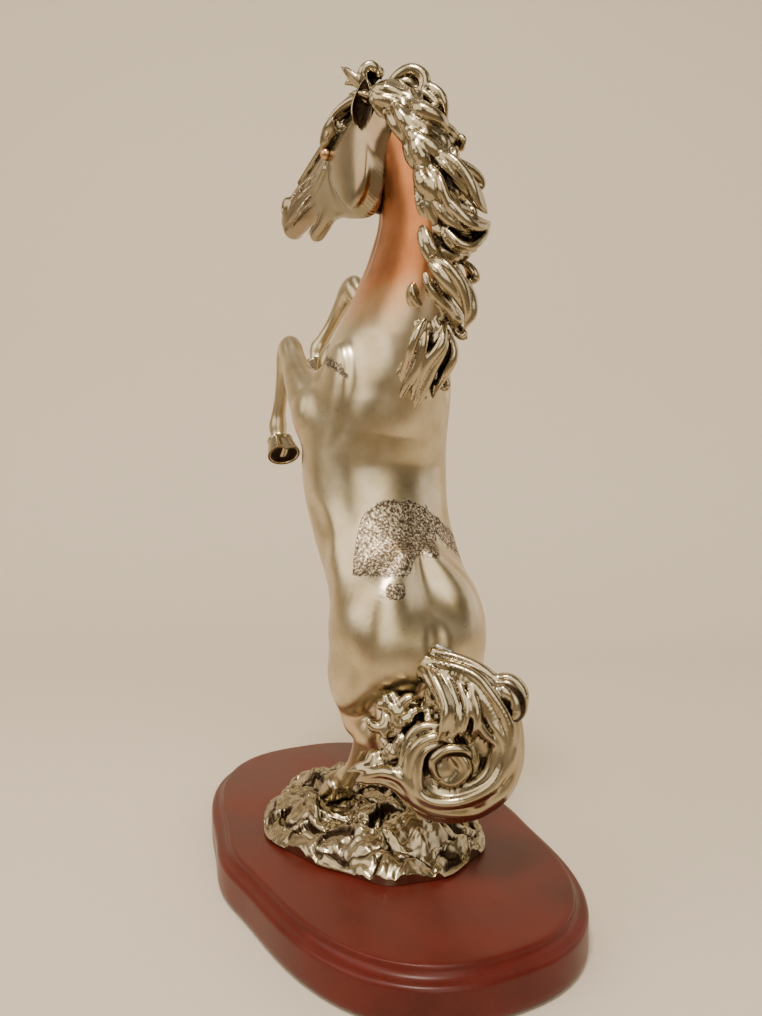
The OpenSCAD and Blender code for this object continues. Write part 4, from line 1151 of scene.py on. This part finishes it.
class STATUE_OT_head(StatueOperator, Operator):
    """Head, ears and eyes"""
    bl_idname = "statue.head"
    bl_label = "Head"

    def execute(self, context):
        p, quads, groove = head_clay(context.scene.statue_sizes.head_step).surface(3)
        x, _, z = p.T
        # copper flush on the jowl and the muzzle; the cheek term is a painted copper-brown reflection on
        # the cheek plate
        cheek = np.exp(-((x - 32) / 9) ** 2 - ((z + 18) / 13) ** 2)
        flush = 0.3 * smooth(30, 8, x) * smooth(4, -8, z) + 0.2 * smooth(56, 74, x) + 0.24 * cheek
        piece = build("head_skin", to_part(from_head(p)), [quads], {"groove": groove, "flush": flush})
        finish_piece(piece, material("face"), ["head_casting"])
        for s, side in ((-1, "left"), (1, "right")):
            q, faces, inside = ear_surface(s)
            ear = build(side + "_ear_skin", to_part(q), faces, {"groove": inside, "flush": 0 * inside})
            finish_piece(ear, material("antiqued"), [side + "_ear"])
            q, faces = ball(from_head([EYE_IN_HEAD[0], s * EYE_IN_HEAD[1], EYE_IN_HEAD[2]]), 3.2)
            eye = build(side + "_eye_ball", to_part(q), faces, {"flush": np.full(len(q), 0.5)})
            finish_piece(eye, material("plate"), [side + "_eye"])
        return {"FINISHED"}


class STATUE_OT_hair(StatueOperator, Operator):
    """Mane, forelock and tail"""
    bl_idname = "statue.hair"
    bl_label = "Hair"

    def execute(self, context):
        step = context.scene.statue_sizes.hair_step
        for name, maker, node in (("mane_locks", mane_clay, "mane_casting"),
                                  ("forelock_locks", forelock_clay, "forelock_casting"),
                                  ("tail_locks", tail_clay, "tail_casting")):
            p, quads, groove = maker(step).surface(2, 5)
            low = 0.14 * smooth(320, 280, p[:, 2]) * (name == "mane_locks")
            piece = build(name, to_part(p), [quads], {"groove": groove, "flush": low})
            finish_piece(piece, material("antiqued"), [node])
        p, faces, dents = curl_locks()
        piece = build("tail_curl_locks", to_part(p), faces, {"groove": 0.4 + 0.5 * dents})
        finish_piece(piece, material("antiqued"), ["tail_curls"])
        return {"FINISHED"}


class STATUE_OT_hooves(StatueOperator, Operator):
    """The four hooves, with their soles"""
    bl_idname = "statue.hooves"
    bl_label = "Hooves"

    def execute(self, context):
        for name, (top, low) in HOOVES.items():
            p, faces, dents = hoof_surface(top, low)
            piece = build(name + "_skin", to_part(p), faces, {"groove": dents})
            finish_piece(piece, material("antiqued"), [name])
        return {"FINISHED"}


class STATUE_OT_ground(StatueOperator, Operator):
    """Rocky ground"""
    bl_idname = "statue.ground"
    bl_label = "Ground"

    def execute(self, context):
        p, faces, dents = ground_surface()
        piece = build("rocky_ground", p, faces, {"groove": dents})
        finish_piece(piece, material("ground"), ["ground_casting"])
        return {"FINISHED"}


class STATUE_OT_base(StatueOperator, Operator):
    """Plinth board, felt and fasteners"""
    bl_idname = "statue.base"
    bl_label = "Base"

    def execute(self, context):
        p, faces = plinth_surface()
        finish_piece(build("plinth_board", p, faces), material("wood"), ["plinth"])
        for node, cad in frame["nodes"].items():
            if node == "base_felt":
                cad.data.materials.clear()
                cad.data.materials.append(material("felt"))
            elif node in ("plinth_screws", "screw_washers", "hoof_studs", "hoof_nuts") or "dowel" in node:
                cad.data.materials.clear()
                cad.data.materials.append(material("steel"))
        return {"FINISHED"}


class STATUE_OT_hollows(StatueOperator, Operator):
    """Works out where antiquing stays in the hollows of the castings"""
    bl_idname = "statue.hollows"
    bl_label = "Hollows"

    def execute(self, context):
        names = ["horse_skin", "head_skin", "left_ear_skin", "right_ear_skin", "left_eye_ball",
                 "right_eye_ball",
                 "mane_locks", "forelock_locks", "tail_locks", "tail_curl_locks", "rocky_ground"]
        fill_hollows([bpy.data.objects[n] for n in names + [h + "_skin" for h in HOOVES]])
        return {"FINISHED"}


# ---- stage ----
BACK, ROUND, REACH, TOP, FRONT = 0.95, 0.45, 3.0, 2.4, -3.0  # metres
CAMERA_PLACE = (0.395, -0.18, 0.224)  # metres
CAMERA_LENS, CAMERA_FRAME = 27.07, 36  # millimetres
CAMERA_DIP = 2.47  # degrees below level
STATUE_MIDDLE = (0.0, 0.0, 0.22)  # metres
WINDOW_WAY = (0.963, -0.27, 0)  # towards the bright strip of the room


def area_light(name, place, target, size, power, colour):
    data = bpy.data.lights.new(name, "AREA")
    data.shape = "RECTANGLE"
    data.size, data.size_y = size
    data.energy = power
    data.color = linear(colour)[:3]
    lamp = bpy.data.objects.new(name, data)
    lamp.location = place
    lamp.rotation_euler = (Vector(target) - Vector(place)).to_track_quat("-Z", "Y").to_euler()
    bpy.context.scene.collection.objects.link(lamp)


class STATUE_OT_stage(StatueOperator, Operator):
    """Pale floor and wall, with painted shade on the floor towards the camera, soft lights and the camera
    """
    bl_idname = "statue.stage"
    bl_label = "Stage"

    def execute(self, context):
        scene = context.scene
        # 7C7263 is the floor's painted shade towards the main view
        wall = painted_wall("warm_white_emulsion", "#DACFBE", "#7C7263")
        turn = np.linspace(0, math.pi / 2, 20)
        run = np.concatenate([[FRONT, 0.0], BACK - ROUND + ROUND * np.sin(turn), [BACK]])
        rise = np.concatenate([[0, 0], ROUND * (1 - np.cos(turn)), [TOP]])
        sheet = np.stack([AWAY * r + HIGH * z + RIGHT * s for r, z in zip(run, rise)
                          for s in (-REACH, REACH)])
        n = len(run) - 1
        quad = np.array([[2 * i, 2 * i + 1, 2 * i + 3, 2 * i + 2] for i in range(n)])
        mesh = bpy.data.meshes.new("cyclorama")
        mesh.from_pydata(sheet.tolist(), [], quad.tolist())
        mesh.polygons.foreach_set("use_smooth", np.ones(n, bool))
        mesh.materials.append(wall)
        floor = bpy.data.objects.new("cyclorama", mesh)
        scene.collection.objects.link(floor)
        world = bpy.data.worlds.new("studio")
        scene.world = world
        world.use_nodes = True
        tree = world.node_tree
        tree.nodes.clear()
        place = add(tree, "ShaderNodeTexCoord").outputs["Generated"]
        level = add(tree, "ShaderNodeVectorMath", {"operation": "MULTIPLY"}, i0=place,
                    i1=(1, 1, 0)).outputs[0]
        level = add(tree, "ShaderNodeVectorMath", {"operation": "NORMALIZE"}, i0=level).outputs[0]
        facing = add(tree, "ShaderNodeVectorMath", {"operation": "DOT_PRODUCT"}, i0=level,
                     i1=WINDOW_WAY).outputs["Value"]
        bands = ramp(tree, add(tree, "ShaderNodeMapRange", Value=facing, i1=1.0, i2=-1.0).outputs[0],
                     [(0.0, linear("#FFF6E4")), (0.015, linear("#FFF0D8")), (0.035, linear("#C9BA9E")),
                      (0.075, linear("#4C4638")), (0.2, linear("#443E33")), (0.36, linear("#625A4C")),
                      (0.55, linear("#575041")), (0.75, linear("#7A7164")), (1.0, linear("#887F72"))],
                      "EASE")
        height = add(tree, "ShaderNodeSeparateXYZ", Vector=place).outputs[2]
        below = add(tree, "ShaderNodeMapRange", {"clamp": True}, Value=height, i1=-0.35, i2=0.0, i3=0.2,
                    i4=1.0).outputs[0]
        room = add(tree, "ShaderNodeMix", {"data_type": "RGBA"}, i0=below, i6=linear("#2B2622"),
                   i7=bands).outputs[2]
        glow = add(tree, "ShaderNodeBackground", Color=room, Strength=2.3)
        add(tree, "ShaderNodeOutputWorld", Surface=glow.outputs[0])
        area_light("ceiling", (0.5, -0.4, 1.3), STATUE_MIDDLE, (0.28, 0.28), 15.0, "#FFF4E4")
        area_light("side", (0.05, -1.2, 0.9), STATUE_MIDDLE, (1.4, 1.2), 11.0, "#FFF0DC")
        area_light("fill", (0.35, 1.2, 0.7), STATUE_MIDDLE, (1.2, 1.2), 4.0, "#FFF2E4")
        data = bpy.data.cameras.new("camera")
        data.sensor_width = CAMERA_FRAME
        data.lens = CAMERA_LENS
        data.clip_start = 0.01
        camera = bpy.data.objects.new("camera", data)
        camera.location = CAMERA_PLACE
        look = Vector((AWAY[0], AWAY[1], -math.tan(math.radians(CAMERA_DIP))))
        camera.rotation_euler = look.to_track_quat("-Z", "Y").to_euler()
        scene.collection.objects.link(camera)
        scene.camera = camera
        return {"FINISHED"}


class STATUE_PT_panel(Panel):
    """Lists the statue's pieces in the sidebar"""
    bl_label = "Statue"
    bl_idname = "STATUE_PT_panel"
    bl_space_type = "VIEW_3D"
    bl_region_type = "UI"
    bl_category = "Statue"

    def draw(self, context):
        column = self.layout.column()
        for group in (context.scene.statue_sizes, context.scene.statue_look):
            for key in group.__annotations__:
                column.prop(group, key)
        for operator in OPERATORS:
            column.operator(operator.bl_idname)


OPERATORS = (STATUE_OT_base, STATUE_OT_ground, STATUE_OT_skin, STATUE_OT_head, STATUE_OT_hair,
             STATUE_OT_hooves, STATUE_OT_hollows, STATUE_OT_stage)
CLASSES = (StatueSizes, StatueLook, *OPERATORS, STATUE_PT_panel)


def register():
    for cls in CLASSES:
        bpy.utils.register_class(cls)
    bpy.types.Scene.statue_sizes = PointerProperty(type=StatueSizes)
    bpy.types.Scene.statue_look = PointerProperty(type=StatueLook)


def unregister():
    del bpy.types.Scene.statue_look
    del bpy.types.Scene.statue_sizes
    for cls in reversed(CLASSES):
        bpy.utils.unregister_class(cls)


def main():
    register()
    for operator in OPERATORS:
        group, name = operator.bl_idname.split(".")
        getattr(getattr(bpy.ops, group), name)()


if __name__ == "__main__":
    main()
